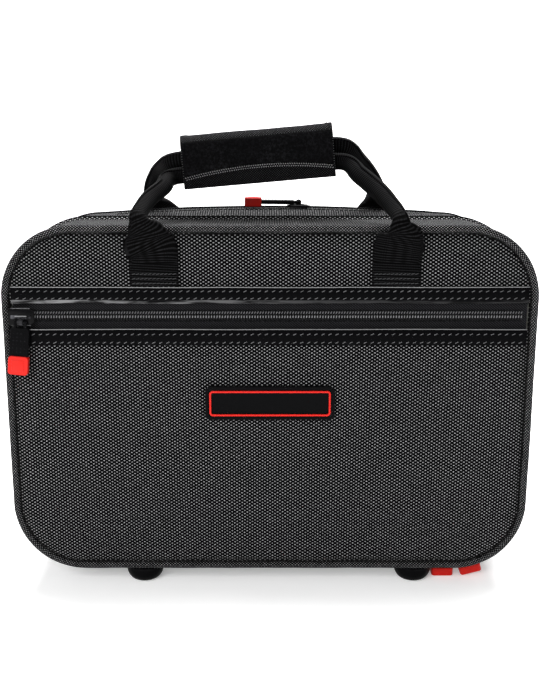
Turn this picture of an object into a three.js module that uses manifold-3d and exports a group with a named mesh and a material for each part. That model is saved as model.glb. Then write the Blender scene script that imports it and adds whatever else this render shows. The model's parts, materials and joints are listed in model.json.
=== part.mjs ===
// Clarinet case: a soft-sided rectangular case that stands on its long bottom edge.
// Millimetres, X to the right, Y to the back, Z up. The origin is on the floor under the middle.

import * as THREE from 'three';
import { mergeVertices } from 'three/addons/utils/BufferGeometryUtils.js';
import Module from 'manifold-3d';

const wasm = await Module();
wasm.setup();

// Whole case
const caseWidth = 366;
const caseHeight = 248;
const lidDepth = 62;
const bodyDepth = 56;
const cornerRadius = 50;
const footHeight = 12;
const caseMiddleY = 1.5;
const fitGap = 0.3;
const cutOverrun = 5;
const rounding = 1e-6;

// Cloth, foam and lining layers, counted inwards from the outermost edge of the piping
const pipingRadius = 3;
const bandInset = 1.2;
const clothThickness = 1.5;
const foamInset = 4.3;
const foamWall = 12;
const foamBackWall = 7;
const liningThickness = 1.5;
const pocketLiningThickness = 1;
const foamEdgeInset = 10;
const foamShoulderInset = 6.8;
const foamShoulderRise = 1.8;
const foamShoulderRun = 3.9;
const backCrown = 5;

// Zips
const chainInset = 1;
const chainThickness = 1.7;
const chainHalfWidth = 3;
const tapeThickness = 1;
const seamTapeWidth = 15;
const seamLipGap = 7.5;
const chainSlit = 0.3;
const zipEndFromCorner = 21;
const hingeClothEndGap = 2;
const tapeInset = chainInset + chainThickness + fitGap;
const sliderSweepRadius = 7.2;

// Sliders
const sliderLength = 18;
const sliderWidth = 13;
const sliderPlate = 1.6;
const sliderLift = 0.6;
const sliderCorner = 3;
const flangeThickness = 1.8;
const flangeReach = 2.3;
const lugLength = 4;
const lugWidth = 4.4;
const pinHeight = 2.4;
const lugHole = 2.4;
const pinDiameter = 1.6;
const sidePinOffset = 3.5;

// Pulls
const pullThickness = 3.2;
const pullWidth = 13;
const pullTipThickness = 6;
const pullTipWidth = 14.4;
const pullTipLength = 13;
const pullArmWidth = 2;
const pullArmGap = 0.5;
const pullForkDepth = 3.8;
const pullArmThickness = 2.2;
const pullCorner = 1.6;
const pocketPullLength = 38;
const rearPullLength = 40;
const mainPullLength = 46;
const mainPullTipWidth = 16;
const mainPullTipThickness = 6.4;

// Front pocket
const upperTrimDrop = 41.3;
const upperTrimHeight = 11.5;
const trimSpacing = 17.8;
const lowerTrimHeight = 11.3;
const trimThickness = 1.2;
const trimOverlap = 1.5;
const pocketTapeHalfWidth = 15;
const pocketZipDrop = 1;
const pocketSliderEdge = 14;
const pocketChainEdge = 11;

// Badge
const badgeWidth = 90;
const badgeHeight = 24;
const badgeThickness = 2;
const badgeCorner = 4;
const badgeRise = 1.3;
const badgeFrameWidth = 84;
const badgeFrameHeight = 18;
const badgeFrameLine = 1.2;
const badgeFrameThickness = 0.6;

// Rear pocket
const rearZipInset = 16;
const rearWindowHalfWidth = 7.3;
const rearZipHalfLength = 118;
const rearTapeHalfWidth = 9.5;
const rearTapeOverlap = 6;
const rearSliderX = 22;

// Main sliders
const leftSliderBeforeCorner = 5.5;
const rightSliderPastCorner = 13;
const mainPullDroop = 6.2;

// Feet
const footRadius = 13.5;
const footBossRadius = 8.2;
const leftFootFromCorner = 41;
const rightFootFromCorner = 28;
const footInsetY = 14.5;
const footRimHeight = 9;
const footFlatRadius = 7.5;
const screwHeadRadius = 3.9;
const screwHeadHeight = 3.2;
const screwHeadRecess = 1.6;
const screwShankRadius = 1.9;
const screwDepth = 12;
const screwClearance = 0.4;

// Handle
const webbingWidth = 33;
const webbingThickness = 2;
const anchorHeight = 15.7;
const leftAnchorX = -78;
const rightAnchorX = 85;
const gripMiddleX = -8.5;
const gripRise = 44.2;
const gripLength = 107;
const gripTilt = 5;
const gripHalfHeight = 18.5;
const gripHalfDepth = 16.5;
const gripCorner = 9;
const gripThickness = 2.2;
const frontStrapDrop = 9.5;
const backStrapDrop = 1;
const gripLeadIn = 7;
const gripStrapHalfHeight = 6.4;
const gripStrapHalfDepth = 6.4;
const gripPanelHeight = 20.8;
const gripPanelThickness = 1.2;
const gripPanelMargin = 1;
const gripFlapHeight = 13;
const gripFlapBow = 5;
const gripFlapThickness = 1.6;

// Instrument tray
const trayFrontGap = 1;
const wellDepth = 40;
const wellCorner = 10;

// Places worked out from the sizes above
const frontY = caseMiddleY - (lidDepth + bodyDepth) / 2;
const backY = frontY + lidDepth + bodyDepth;
const seamY = frontY + lidDepth;
const bottomZ = footHeight;
const topZ = footHeight + caseHeight;
const middleZ = (bottomZ + topZ) / 2;
const halfFlat = caseWidth / 2 - cornerRadius;
const halfRise = caseHeight / 2 - cornerRadius;
const crownRadius = (halfFlat * halfFlat + backCrown * backCrown) / (2 * backCrown);
const rearZipY = backY - rearZipInset;
const crownStartY = seamY + seamTapeWidth;
const bodyLipY = seamY + seamLipGap + fitGap;
const crownEndY = rearZipY - rearTapeHalfWidth;
const bandInner = bandInset + clothThickness;
const foamInner = foamInset + foamWall;
const panelInset = 2 * pipingRadius + fitGap;
const pocketTapeY = frontY - pocketZipDrop + tapeInset;
const pocketLiningY = pocketTapeY + tapeThickness + fitGap;
const lidFoamY = pocketLiningY + pocketLiningThickness + fitGap;
const lidFoamInnerY = lidFoamY + foamWall;
const rearLiningY = backY - clothThickness - fitGap;
const bodyFoamY = rearLiningY - pocketLiningThickness - fitGap;
const bodyFoamInnerY = bodyFoamY - foamBackWall;
const zipEndX = halfFlat - zipEndFromCorner;
const hingeClothEndX = zipEndX - hingeClothEndGap;
const upperTrimTop = topZ - upperTrimDrop;
const upperTrimBottom = upperTrimTop - upperTrimHeight;
const lowerTrimTop = upperTrimBottom - trimSpacing;
const lowerTrimBottom = lowerTrimTop - lowerTrimHeight;
const pocketZipZ = (upperTrimBottom + lowerTrimTop) / 2;
const pocketSliderX = pocketSliderEdge - caseWidth / 2;
const pocketChainEndX = caseWidth / 2 - pocketChainEdge;
const badgeZ = middleZ + badgeRise;
const rearTapeEndX = rearZipHalfLength + rearTapeOverlap;
const anchorBottom = upperTrimTop + fitGap;
const anchorTop = anchorBottom + anchorHeight;
const gripMiddleZ = topZ + gripRise;
const screwReach = bottomZ + screwDepth;

// Materials
const finishes = {
  cloth: { color: 0x2b2b2d, roughness: 0.85, metalness: 0 },
  piping: { color: 0x242426, roughness: 0.85, metalness: 0 },
  webbing: { color: 0x101011, roughness: 0.8, metalness: 0 },
  vinyl: { color: 0x0c0c0d, roughness: 0.3, metalness: 0 },
  zipTape: { color: 0x161618, roughness: 0.85, metalness: 0 },
  zipCoil: { color: 0x222224, roughness: 0.45, metalness: 0 },
  sliderMetal: { color: 0x17171a, roughness: 0.35, metalness: 0.8 },
  blackRubber: { color: 0x0f0f10, roughness: 0.55, metalness: 0 },
  redRubber: { color: 0xd8201a, roughness: 0.45, metalness: 0 },
  foam: { color: 0xd9d9d4, roughness: 0.95, metalness: 0 },
  plush: { color: 0x18181a, roughness: 1, metalness: 0 },
  screwSteel: { color: 0x8d8d90, roughness: 0.35, metalness: 1 },
};

const materials = Object.fromEntries(
  Object.entries(finishes).map(([name, finish]) => [name, new THREE.MeshStandardMaterial(finish)]),
);

// Solids

function closedGeometry(points, triangles) {
  let volume = 0;
  for (const [a, b, c] of triangles) {
    volume += points[a].dot(new THREE.Vector3().crossVectors(points[b], points[c]));
  }
  const geometry = new THREE.BufferGeometry().setFromPoints(points);
  geometry.setIndex(triangles.flatMap(([a, b, c]) => (volume > 0 ? [a, b, c] : [a, c, b])));
  return geometry;
}

// Twisted faces split along the diagonal that bulges outwards, so that nested layers keep their gap.
function splitOutwards(points, [a, b, c, d]) {
  const reach = (p, q) => Math.hypot(points[p].x + points[q].x, points[p].z + points[q].z - 2 * middleZ);
  return reach(a, c) >= reach(b, d) - rounding;
}

// Joins a list of rings with the same number of points, either round in a loop or capped at both ends.
function loft(rings, loop = false) {
  const count = rings[0].length;
  const points = rings.flat();
  const triangles = [];
  const steps = loop ? rings.length : rings.length - 1;
  for (let ring = 0; ring < steps; ring += 1) {
    const here = ring * count;
    const there = ((ring + 1) % rings.length) * count;
    for (let i = 0; i < count; i += 1) {
      const j = (i + 1) % count;
      const corners = [here + i, here + j, there + j, there + i];
      const [a, b, c, d] = splitOutwards(points, corners) ? corners : [...corners.slice(1), corners[0]];
      triangles.push([a, b, c], [a, c, d]);
    }
  }
  if (!loop) {
    const last = (rings.length - 1) * count;
    for (let i = 1; i < count - 1; i += 1) {
      triangles.push([0, i + 1, i], [last, last + i, last + i + 1]);
    }
  }
  return closedGeometry(points, triangles);
}

function toSolid(geometry) {
  const bare = geometry.clone();
  bare.deleteAttribute('normal');
  bare.deleteAttribute('uv');
  const merged = mergeVertices(bare);
  return new wasm.Manifold(new wasm.Mesh({
    numProp: 3,
    vertProperties: new Float32Array(merged.attributes.position.array),
    triVerts: new Uint32Array(merged.index.array),
  }));
}

function toGeometry(solid) {
  const mesh = solid.getMesh();
  const geometry = new THREE.BufferGeometry();
  geometry.setAttribute('position', new THREE.BufferAttribute(new Float32Array(mesh.vertProperties), 3));
  geometry.setIndex(new THREE.BufferAttribute(new Uint32Array(mesh.triVerts), 1));
  return geometry;
}

function cut(geometry, ...tools) {
  return toGeometry(tools.reduce((solid, tool) => solid.subtract(toSolid(tool)), toSolid(geometry)));
}

function join(geometry, ...others) {
  return toGeometry(others.reduce((solid, other) => solid.add(toSolid(other)), toSolid(geometry)));
}

function box(low, high) {
  const size = new THREE.Vector3().subVectors(high, low);
  const middle = new THREE.Vector3().addVectors(low, high).divideScalar(2);
  return new THREE.BoxGeometry(size.x, size.y, size.z).translate(middle.x, middle.y, middle.z);
}

function roundedRectangle(halfWidth, halfHeight, radius, segments = 4) {
  const points = [];
  for (let corner = 0; corner < 4; corner += 1) {
    const signX = corner === 0 || corner === 3 ? 1 : -1;
    const signY = corner < 2 ? 1 : -1;
    for (let step = 0; step <= segments; step += 1) {
      const angle = (corner + step / segments) * (Math.PI / 2);
      points.push(new THREE.Vector2(
        signX * (halfWidth - radius) + radius * Math.cos(angle),
        signY * (halfHeight - radius) + radius * Math.sin(angle),
      ));
    }
  }
  return points;
}

// A flat plate seen from the front: its outline lies in X and Z, and it is thick along Y.
function frontPlate(outline, nearY, farY, holes = []) {
  const shape = new THREE.Shape(outline);
  shape.holes = holes.map((hole) => new THREE.Path(hole));
  const geometry = new THREE.ExtrudeGeometry(shape, { depth: farY - nearY, bevelEnabled: false });
  return geometry.rotateX(Math.PI / 2).translate(0, farY, 0);
}

function moved(outline, x, z) {
  return outline.map((point) => new THREE.Vector2(point.x + x, point.y + z));
}

// Case outline: points on the outermost edge, each with its outward direction

function perimeter(cornerSegments = 8, crownSegments = 12) {
  const track = [];
  for (let corner = 0; corner < 4; corner += 1) {
    const centreX = corner < 2 ? halfFlat : -halfFlat;
    const centreZ = middleZ + (corner === 1 || corner === 2 ? halfRise : -halfRise);
    for (let step = 0; step <= cornerSegments; step += 1) {
      const angle = (corner - 1 + step / cornerSegments) * (Math.PI / 2);
      const out = new THREE.Vector2(Math.cos(angle), Math.sin(angle));
      track.push({ x: centreX + cornerRadius * out.x, z: centreZ + cornerRadius * out.y, out });
    }
    for (let step = 1; corner === 1 && step < crownSegments; step += 1) {
      const x = halfFlat * (1 - (2 * step) / crownSegments);
      track.push({ x, z: topZ, out: new THREE.Vector2(0, 1) });
    }
  }
  return track;
}

function topTrack(endX, segments = 12) {
  return Array.from({ length: segments + 1 }, (_, step) => (
    { x: endX * (1 - (2 * step) / segments), z: topZ, out: new THREE.Vector2(0, 1) }));
}

// The zip track runs up the right side, over the top and down the left side, open at the bottom.
function zipTrack() {
  const down = new THREE.Vector2(0, -1);
  return [{ x: zipEndX, z: bottomZ, out: down }, ...perimeter(), { x: -zipEndX, z: bottomZ, out: down }];
}

// The top of the back half is crowned, most of all round the rear zip.
function crownAt(x, y) {
  const share = Math.min(1, Math.max(0, (y - crownStartY) / (crownEndY - crownStartY)));
  const rise = Math.sqrt(crownRadius * crownRadius - x * x) - (crownRadius - backCrown);
  return share * Math.max(0, rise);
}

function layerPoint(place, inset, y) {
  const onTop = place.out.y > 1 - rounding;
  const lift = onTop ? crownAt(place.x, y) : 0;
  return new THREE.Vector3(place.x - inset * place.out.x, y, place.z - inset * place.out.y + lift);
}

// A wall that follows the track; its section is a list of [inset, y].
function wall(track, section, loop = false) {
  return loft(track.map((place) => section.map(([inset, y]) => layerPoint(place, inset, y))), loop);
}

// A shell or block that fills the outline; its profile is a list of [inset, y], front to back or out to in.
function filled(profile) {
  const track = perimeter();
  return loft(profile.map(([inset, y]) => track.map((place) => layerPoint(place, inset, y))));
}

function strip(nearInset, farInset, nearY, farY) {
  const rows = [nearY, crownStartY, crownEndY, farY].filter((y) => y >= nearY && y <= farY);
  const levels = [...new Set(rows)];
  const outer = levels.map((y) => [nearInset, y]);
  const inner = levels.map((y) => [farInset, y]).reverse();
  return [...outer, ...inner];
}

function pipingSection(y) {
  return Array.from({ length: 8 }, (_, step) => {
    const angle = ((step + 0.5) / 8) * 2 * Math.PI;
    return [pipingRadius + pipingRadius * Math.cos(angle), y + pipingRadius * Math.sin(angle)];
  });
}

// Screws pass through the cloth and end in the foam
const leftFootX = leftFootFromCorner - halfFlat;
const rightFootX = halfFlat - rightFootFromCorner;
const frontFootY = frontY + footInsetY;
const backFootY = backY - footInsetY;
const footPlaces = [
  { name: 'front_left', x: leftFootX, y: frontFootY },
  { name: 'front_right', x: rightFootX, y: frontFootY },
  { name: 'back_left', x: leftFootX, y: backFootY },
  { name: 'back_right', x: rightFootX, y: backFootY },
];

function screwHole({ x, y }) {
  const radius = screwShankRadius + screwClearance;
  const top = screwReach + screwClearance;
  return new THREE.CylinderGeometry(radius, radius, top, 12).rotateX(Math.PI / 2).translate(x, y, top / 2);
}

// Lid

function lidFoamShell() {
  const edgeY = seamY - fitGap;
  const shell = filled([
    [foamEdgeInset, lidFoamY],
    [foamShoulderInset, lidFoamY + foamShoulderRise],
    [foamInset, lidFoamY + foamShoulderRun],
    [foamInset, edgeY],
    [foamInner, edgeY],
    [foamInner, lidFoamInnerY],
  ]);
  return cut(shell, ...footPlaces.slice(0, 2).map(screwHole));
}

function lidLining() {
  const outer = foamInner + fitGap;
  const edgeY = seamY - fitGap;
  return filled([
    [outer, lidFoamInnerY + fitGap],
    [outer, edgeY],
    [outer + liningThickness, edgeY],
    [outer + liningThickness, lidFoamInnerY + fitGap + liningThickness],
  ]);
}

function frontFace(lowZ, highZ) {
  const face = toSolid(filled([[panelInset, frontY], [panelInset, frontY + clothThickness]]));
  const keep = box(
    new THREE.Vector3(-caseWidth, frontY - cutOverrun, lowZ),
    new THREE.Vector3(caseWidth, frontY + cutOverrun, highZ),
  );
  return toGeometry(face.intersect(toSolid(keep)));
}

function trimStrip(lowZ, highZ) {
  const halfWidth = caseWidth / 2 - panelInset;
  return box(
    new THREE.Vector3(-halfWidth, frontY - fitGap - trimThickness, lowZ),
    new THREE.Vector3(halfWidth, frontY - fitGap, highZ),
  );
}

function pocketLining() {
  return filled([[foamEdgeInset, pocketLiningY], [foamEdgeInset, pocketLiningY + pocketLiningThickness]]);
}

function pocketTape() {
  const halfWidth = caseWidth / 2 - foamEdgeInset;
  return box(
    new THREE.Vector3(-halfWidth, pocketTapeY, pocketZipZ - pocketTapeHalfWidth),
    new THREE.Vector3(halfWidth, pocketTapeY + tapeThickness, pocketZipZ + pocketTapeHalfWidth),
  );
}

function pocketChain() {
  const nearY = frontY - pocketZipDrop + chainInset;
  return box(
    new THREE.Vector3(-pocketChainEndX, nearY, pocketZipZ - chainHalfWidth),
    new THREE.Vector3(pocketChainEndX, nearY + chainThickness, pocketZipZ + chainHalfWidth),
  );
}

function badgePlate() {
  const outline = roundedRectangle(badgeWidth / 2, badgeHeight / 2, badgeCorner);
  return frontPlate(moved(outline, 0, badgeZ), frontY - fitGap - badgeThickness, frontY - fitGap);
}

function badgeFrame() {
  const outer = roundedRectangle(badgeFrameWidth / 2, badgeFrameHeight / 2, badgeFrameLine * 2);
  const inner = roundedRectangle(
    badgeFrameWidth / 2 - badgeFrameLine, badgeFrameHeight / 2 - badgeFrameLine, badgeFrameLine);
  const farY = frontY - 2 * fitGap - badgeThickness;
  return frontPlate(moved(outer, 0, badgeZ), farY - badgeFrameThickness, farY, [moved(inner, 0, badgeZ)]);
}

function lidBand() {
  const section = strip(bandInset, bandInner, frontY + panelInset, seamY - seamLipGap);
  return cut(wall(perimeter(), section, true), ...footPlaces.slice(0, 2).map(screwHole));
}

// Body

function bodyFoamShell() {
  const edgeY = seamY + fitGap;
  const slopeInset = foamInset + sliderSweepRadius / 2;
  const shell = filled([
    [foamInner, bodyFoamInnerY],
    [foamInner, crownEndY],
    [foamInner, crownStartY],
    [foamInner, edgeY],
    [slopeInset, edgeY],
    [foamInset, seamY + sliderSweepRadius],
    [foamInset, crownStartY],
    [foamInset, crownEndY],
    [foamInset, bodyFoamY - foamShoulderRun],
    [foamShoulderInset, bodyFoamY - foamShoulderRise],
    [foamEdgeInset, bodyFoamY],
  ]);
  return cut(shell, ...footPlaces.slice(2).map(screwHole));
}

// Wells, as shares of the tray's half width and half height: left, right, bottom, top
const wellShares = [
  { left: -0.81, right: 0.81, bottom: 0.49, top: 0.92 },
  { left: -0.96, right: 0.42, bottom: 0.03, top: 0.42 },
  { left: 0.5, right: 0.96, bottom: 0.05, top: 0.4 },
  { left: -0.18, right: 0.42, bottom: -0.37, top: -0.05 },
  { left: 0.5, right: 0.93, bottom: -0.37, top: -0.03 },
  { left: -0.18, right: 0.92, bottom: -0.83, top: -0.45 },
];
const bellWellShares = { left: -0.93, right: -0.25, bottom: -0.83, top: -0.04, narrow: 0.5 };

function wellOutline(shares, halfWidth, halfHeight) {
  const halfX = ((shares.right - shares.left) * halfWidth) / 2;
  const halfZ = ((shares.top - shares.bottom) * halfHeight) / 2;
  const x = ((shares.right + shares.left) * halfWidth) / 2;
  const z = ((shares.top + shares.bottom) * halfHeight) / 2;
  const outline = roundedRectangle(halfX, halfZ, wellCorner, 3);
  if (shares.narrow) {
    outline.forEach((point) => {
      const along = (point.x + halfX) / (2 * halfX);
      point.y *= 1 - along * (1 - shares.narrow);
    });
  }
  return moved(outline, x, middleZ + z);
}

function instrumentTray() {
  const inset = foamInner + fitGap;
  const nearY = seamY + trayFrontGap;
  const block = filled([
    [inset, nearY],
    [inset, crownStartY],
    [inset, crownEndY],
    [inset, bodyFoamInnerY - fitGap],
  ]);
  const halfWidth = caseWidth / 2 - inset;
  const halfHeight = caseHeight / 2 - inset;
  const wells = [...wellShares, bellWellShares].map((shares) => frontPlate(
    wellOutline(shares, halfWidth, halfHeight), nearY - cutOverrun, nearY + wellDepth));
  return cut(block, ...wells);
}

function rearLining() {
  return filled([[foamEdgeInset, rearLiningY - pocketLiningThickness], [foamEdgeInset, rearLiningY]]);
}

function bodyBand() {
  const section = strip(bandInset, bandInner, bodyLipY, backY - panelInset);
  const window = box(
    new THREE.Vector3(-rearZipHalfLength, rearZipY - rearWindowHalfWidth, topZ - cutOverrun),
    new THREE.Vector3(rearZipHalfLength, rearZipY + rearWindowHalfWidth, topZ + backCrown + cutOverrun),
  );
  return cut(wall(perimeter(), section, true), window, ...footPlaces.slice(2).map(screwHole));
}

function seamTape(side) {
  const section = [
    [tapeInset, seamY + side * seamTapeWidth],
    [tapeInset, seamY + (side * chainSlit) / 2],
    [tapeInset + tapeThickness, seamY + (side * chainSlit) / 2],
    [tapeInset + tapeThickness, seamY + side * seamTapeWidth],
  ];
  return wall(zipTrack(), section);
}

function seamChain(side) {
  const section = [
    [chainInset, seamY + side * chainHalfWidth],
    [chainInset, seamY + (side * chainSlit) / 2],
    [chainInset + chainThickness, seamY + (side * chainSlit) / 2],
    [chainInset + chainThickness, seamY + side * chainHalfWidth],
  ];
  return wall(zipTrack(), section);
}

function hingeCloth(side) {
  const nearY = seamY + (side * chainSlit) / 2;
  const farY = seamY + side * (seamLipGap - (side > 0 ? 0 : fitGap));
  return box(
    new THREE.Vector3(-hingeClothEndX, Math.min(nearY, farY), bottomZ + bandInset),
    new THREE.Vector3(hingeClothEndX, Math.max(nearY, farY), bottomZ + bandInner),
  );
}

function rearTape() {
  const section = [
    [tapeInset, rearZipY - rearTapeHalfWidth],
    [tapeInset, rearZipY + rearTapeHalfWidth],
    [tapeInset + tapeThickness, rearZipY + rearTapeHalfWidth],
    [tapeInset + tapeThickness, rearZipY - rearTapeHalfWidth],
  ];
  return wall(topTrack(rearTapeEndX), section);
}

function rearChain() {
  const section = [
    [chainInset, rearZipY - chainHalfWidth],
    [chainInset, rearZipY + chainHalfWidth],
    [chainInset + chainThickness, rearZipY + chainHalfWidth],
    [chainInset + chainThickness, rearZipY - chainHalfWidth],
  ];
  return wall(topTrack(rearZipHalfLength - fitGap), section);
}

// Feet

function foot({ x, y }) {
  const bossTop = bottomZ + bandInset - fitGap;
  const rimTop = bottomZ - fitGap;
  const hole = screwShankRadius + screwClearance;
  const recess = screwHeadRadius + screwClearance;
  const seat = screwHeadRecess + screwHeadHeight + fitGap;
  const dome = [];
  for (let step = 1; step < 5; step += 1) {
    const angle = (step / 5) * (Math.PI / 2);
    dome.push(new THREE.Vector2(
      footFlatRadius + (footRadius - footFlatRadius) * Math.cos(angle),
      footRimHeight * (1 - Math.sin(angle)),
    ));
  }
  const profile = [
    new THREE.Vector2(hole, seat),
    new THREE.Vector2(recess, seat),
    new THREE.Vector2(recess, 0),
    new THREE.Vector2(footFlatRadius, 0),
    ...dome.reverse(),
    new THREE.Vector2(footRadius, footRimHeight),
    new THREE.Vector2(footRadius, rimTop),
    new THREE.Vector2(footBossRadius, rimTop),
    new THREE.Vector2(footBossRadius, bossTop),
    new THREE.Vector2(hole, bossTop),
  ];
  profile.push(profile[0].clone());
  return new THREE.LatheGeometry(profile, 20).rotateX(Math.PI / 2).translate(x, y, 0);
}

function footScrew({ x, y }) {
  const headTop = screwHeadRecess + screwHeadHeight;
  const profile = [
    new THREE.Vector2(0, screwHeadRecess),
    new THREE.Vector2(screwHeadRadius, screwHeadRecess),
    new THREE.Vector2(screwHeadRadius, headTop),
    new THREE.Vector2(screwShankRadius, headTop),
    new THREE.Vector2(screwShankRadius, screwReach),
    new THREE.Vector2(0, screwReach),
  ];
  return new THREE.LatheGeometry(profile, 12).rotateX(Math.PI / 2).translate(x, y, 0);
}

// Sliders and pulls
// A slider is drawn with X along the chain, Y across it and Z outwards, at the piping's outermost surface.

function sliderSolid(pinOffset, turn) {
  const plateLow = sliderLift - chainInset;
  const plateTop = plateLow + sliderPlate;
  const outline = new THREE.Shape(roundedRectangle(sliderLength / 2, sliderWidth / 2, sliderCorner));
  const plate = new THREE.ExtrudeGeometry(outline, { depth: sliderPlate, bevelEnabled: false });
  plate.translate(0, 0, plateLow);
  const flanges = [-1, 1].map((side) => {
    const outer = (side * sliderWidth) / 2 - side * fitGap;
    const inner = outer - side * flangeThickness;
    const halfLength = sliderLength / 2 - sliderCorner;
    return box(
      new THREE.Vector3(-halfLength, Math.min(inner, outer), plateLow - flangeReach),
      new THREE.Vector3(halfLength, Math.max(inner, outer), plateLow + sliderPlate / 2),
    );
  });
  const lug = lugSolid(plateTop, turn).translate(turn ? pinOffset : 0, turn ? 0 : pinOffset, 0);
  return join(plate, ...flanges, lug);
}

// The lug stands on the plate, and its hole runs along X, or along Y when it is turned.
function lugSolid(plateTop, turn) {
  const outline = [];
  const middle = plateTop + pinHeight;
  for (let step = 0; step <= 6; step += 1) {
    const angle = (step / 6) * Math.PI;
    const across = (lugWidth / 2) * Math.cos(angle);
    outline.push(new THREE.Vector2(across, middle + (lugWidth / 2) * Math.sin(angle)));
  }
  const foot = plateTop - sliderPlate / 2;
  outline.push(new THREE.Vector2(-lugWidth / 2, foot), new THREE.Vector2(lugWidth / 2, foot));
  const shape = new THREE.Shape(outline);
  const hole = [];
  for (let step = 0; step < 8; step += 1) {
    const angle = (step / 8) * 2 * Math.PI;
    hole.push(new THREE.Vector2((lugHole / 2) * Math.cos(angle), middle + (lugHole / 2) * Math.sin(angle)));
  }
  shape.holes = [new THREE.Path(hole)];
  const lug = new THREE.ExtrudeGeometry(shape, { depth: lugLength, bevelEnabled: false });
  lug.translate(0, 0, -lugLength / 2).rotateX(Math.PI / 2);
  return turn ? lug : lug.rotateZ(Math.PI / 2);
}

// A pull is drawn from its pin at the origin, out along X, with the pin along Y.
function pullSolid(length) {
  const tabEnd = length - pullTipLength - fitGap;
  const armOuter = lugLength / 2 + pullArmGap + pullArmWidth;
  const tab = box(
    new THREE.Vector3(pullForkDepth, -pullWidth / 2, -pullThickness / 2),
    new THREE.Vector3(tabEnd, pullWidth / 2, pullThickness / 2),
  );
  const arms = [-1, 1].map((side) => {
    const inner = side * (armOuter - pullArmWidth);
    const outer = side * armOuter;
    return box(
      new THREE.Vector3(-pullArmThickness / 2, Math.min(inner, outer), -pullArmThickness / 2),
      new THREE.Vector3(pullForkDepth + fitGap, Math.max(inner, outer), pullArmThickness / 2),
    );
  });
  const pinLength = 2 * armOuter - pullArmWidth;
  const pin = new THREE.CylinderGeometry(pinDiameter / 2, pinDiameter / 2, pinLength, 8);
  return join(tab, ...arms, pin);
}

function pullTip(length, width, thickness) {
  const halfWidth = width / 2;
  const outline = roundedRectangle(pullTipLength / 2, halfWidth, pullCorner, 2);
  const shape = new THREE.Shape(outline);
  const tip = new THREE.ExtrudeGeometry(shape, { depth: thickness, bevelEnabled: false });
  return tip.translate(length - pullTipLength / 2, 0, -thickness / 2);
}

// Handle straps

// A strap's way up from its anchor. Out is a share of the webbing's width, inwards and rise are shares
// of the way to the grip, and wide and thick are shares of the flat webbing's width and thickness.
const strapShares = {
  front: {
    left: [
      { out: 0, inwards: 0, rise: 0, wide: 1, thick: 1 },
      { out: 0.017, inwards: -0.011, rise: 0.148, wide: 1.028, thick: 1.34 },
      { out: 0.11, inwards: -0.041, rise: 0.273, wide: 1.007, thick: 1.99 },
      { out: 0.163, inwards: -0.069, rise: 0.392, wide: 0.822, thick: 2.98 },
      { out: 0.244, inwards: -0.075, rise: 0.507, wide: 0.46, thick: 4.75 },
      { out: 0.262, inwards: -0.009, rise: 0.598, wide: 0.357, thick: 5.56 },
      { out: 0.135, inwards: 0.313, rise: 0.747, wide: 0.37, thick: 6.11 },
      { out: -0.112, inwards: 0.631, rise: 0.884, wide: 0.379, thick: 6.25 },
    ],
    right: [
      { out: 0, inwards: 0, rise: 0, wide: 1, thick: 1 },
      { out: 0.016, inwards: -0.011, rise: 0.124, wide: 1.012, thick: 1.34 },
      { out: 0.047, inwards: -0.041, rise: 0.229, wide: 0.991, thick: 1.99 },
      { out: 0.072, inwards: -0.069, rise: 0.318, wide: 0.822, thick: 2.98 },
      { out: 0.041, inwards: -0.078, rise: 0.4, wide: 0.46, thick: 4.49 },
      { out: 0.022, inwards: -0.026, rise: 0.472, wide: 0.345, thick: 5.56 },
      { out: -0.08, inwards: 0.183, rise: 0.561, wide: 0.375, thick: 6.18 },
      { out: -0.343, inwards: 0.5, rise: 0.72, wide: 0.417, thick: 6.87 },
      { out: -0.664, inwards: 0.78, rise: 0.862, wide: 0.425, thick: 7.01 },
    ],
  },
  back: {
    left: [
      { out: 0, inwards: 0, rise: 0, wide: 1, thick: 1 },
      { out: 0.015, inwards: -0.011, rise: 0.139, wide: 1.001, thick: 1.59 },
      { out: 0.151, inwards: -0.041, rise: 0.275, wide: 0.963, thick: 2.54 },
      { out: 0.286, inwards: -0.063, rise: 0.405, wide: 0.745, thick: 3.97 },
      { out: 0.399, inwards: -0.022, rise: 0.526, wide: 0.44, thick: 6.47 },
      { out: 0.409, inwards: 0.127, rise: 0.645, wide: 0.416, thick: 6.86 },
      { out: 0.309, inwards: 0.313, rise: 0.768, wide: 0.409, thick: 6.75 },
      { out: 0.093, inwards: 0.575, rise: 0.902, wide: 0.409, thick: 6.75 },
    ],
    right: [
      { out: 0, inwards: 0, rise: 0, wide: 1, thick: 1 },
      { out: 0.005, inwards: -0.011, rise: 0.119, wide: 1.035, thick: 1.59 },
      { out: -0.011, inwards: -0.041, rise: 0.236, wide: 1.059, thick: 2.38 },
      { out: -0.039, inwards: -0.063, rise: 0.347, wide: 0.962, thick: 3.57 },
      { out: -0.037, inwards: -0.041, rise: 0.455, wide: 0.599, thick: 5.53 },
      { out: -0.083, inwards: 0.127, rise: 0.563, wide: 0.449, thick: 7.01 },
      { out: -0.241, inwards: 0.313, rise: 0.683, wide: 0.446, thick: 7.36 },
      { out: -0.583, inwards: 0.612, rise: 0.848, wide: 0.453, thick: 7.47 },
    ],
  },
};
const gripRunShares = [-1, -0.5, 0, 0.5, 1];

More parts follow.
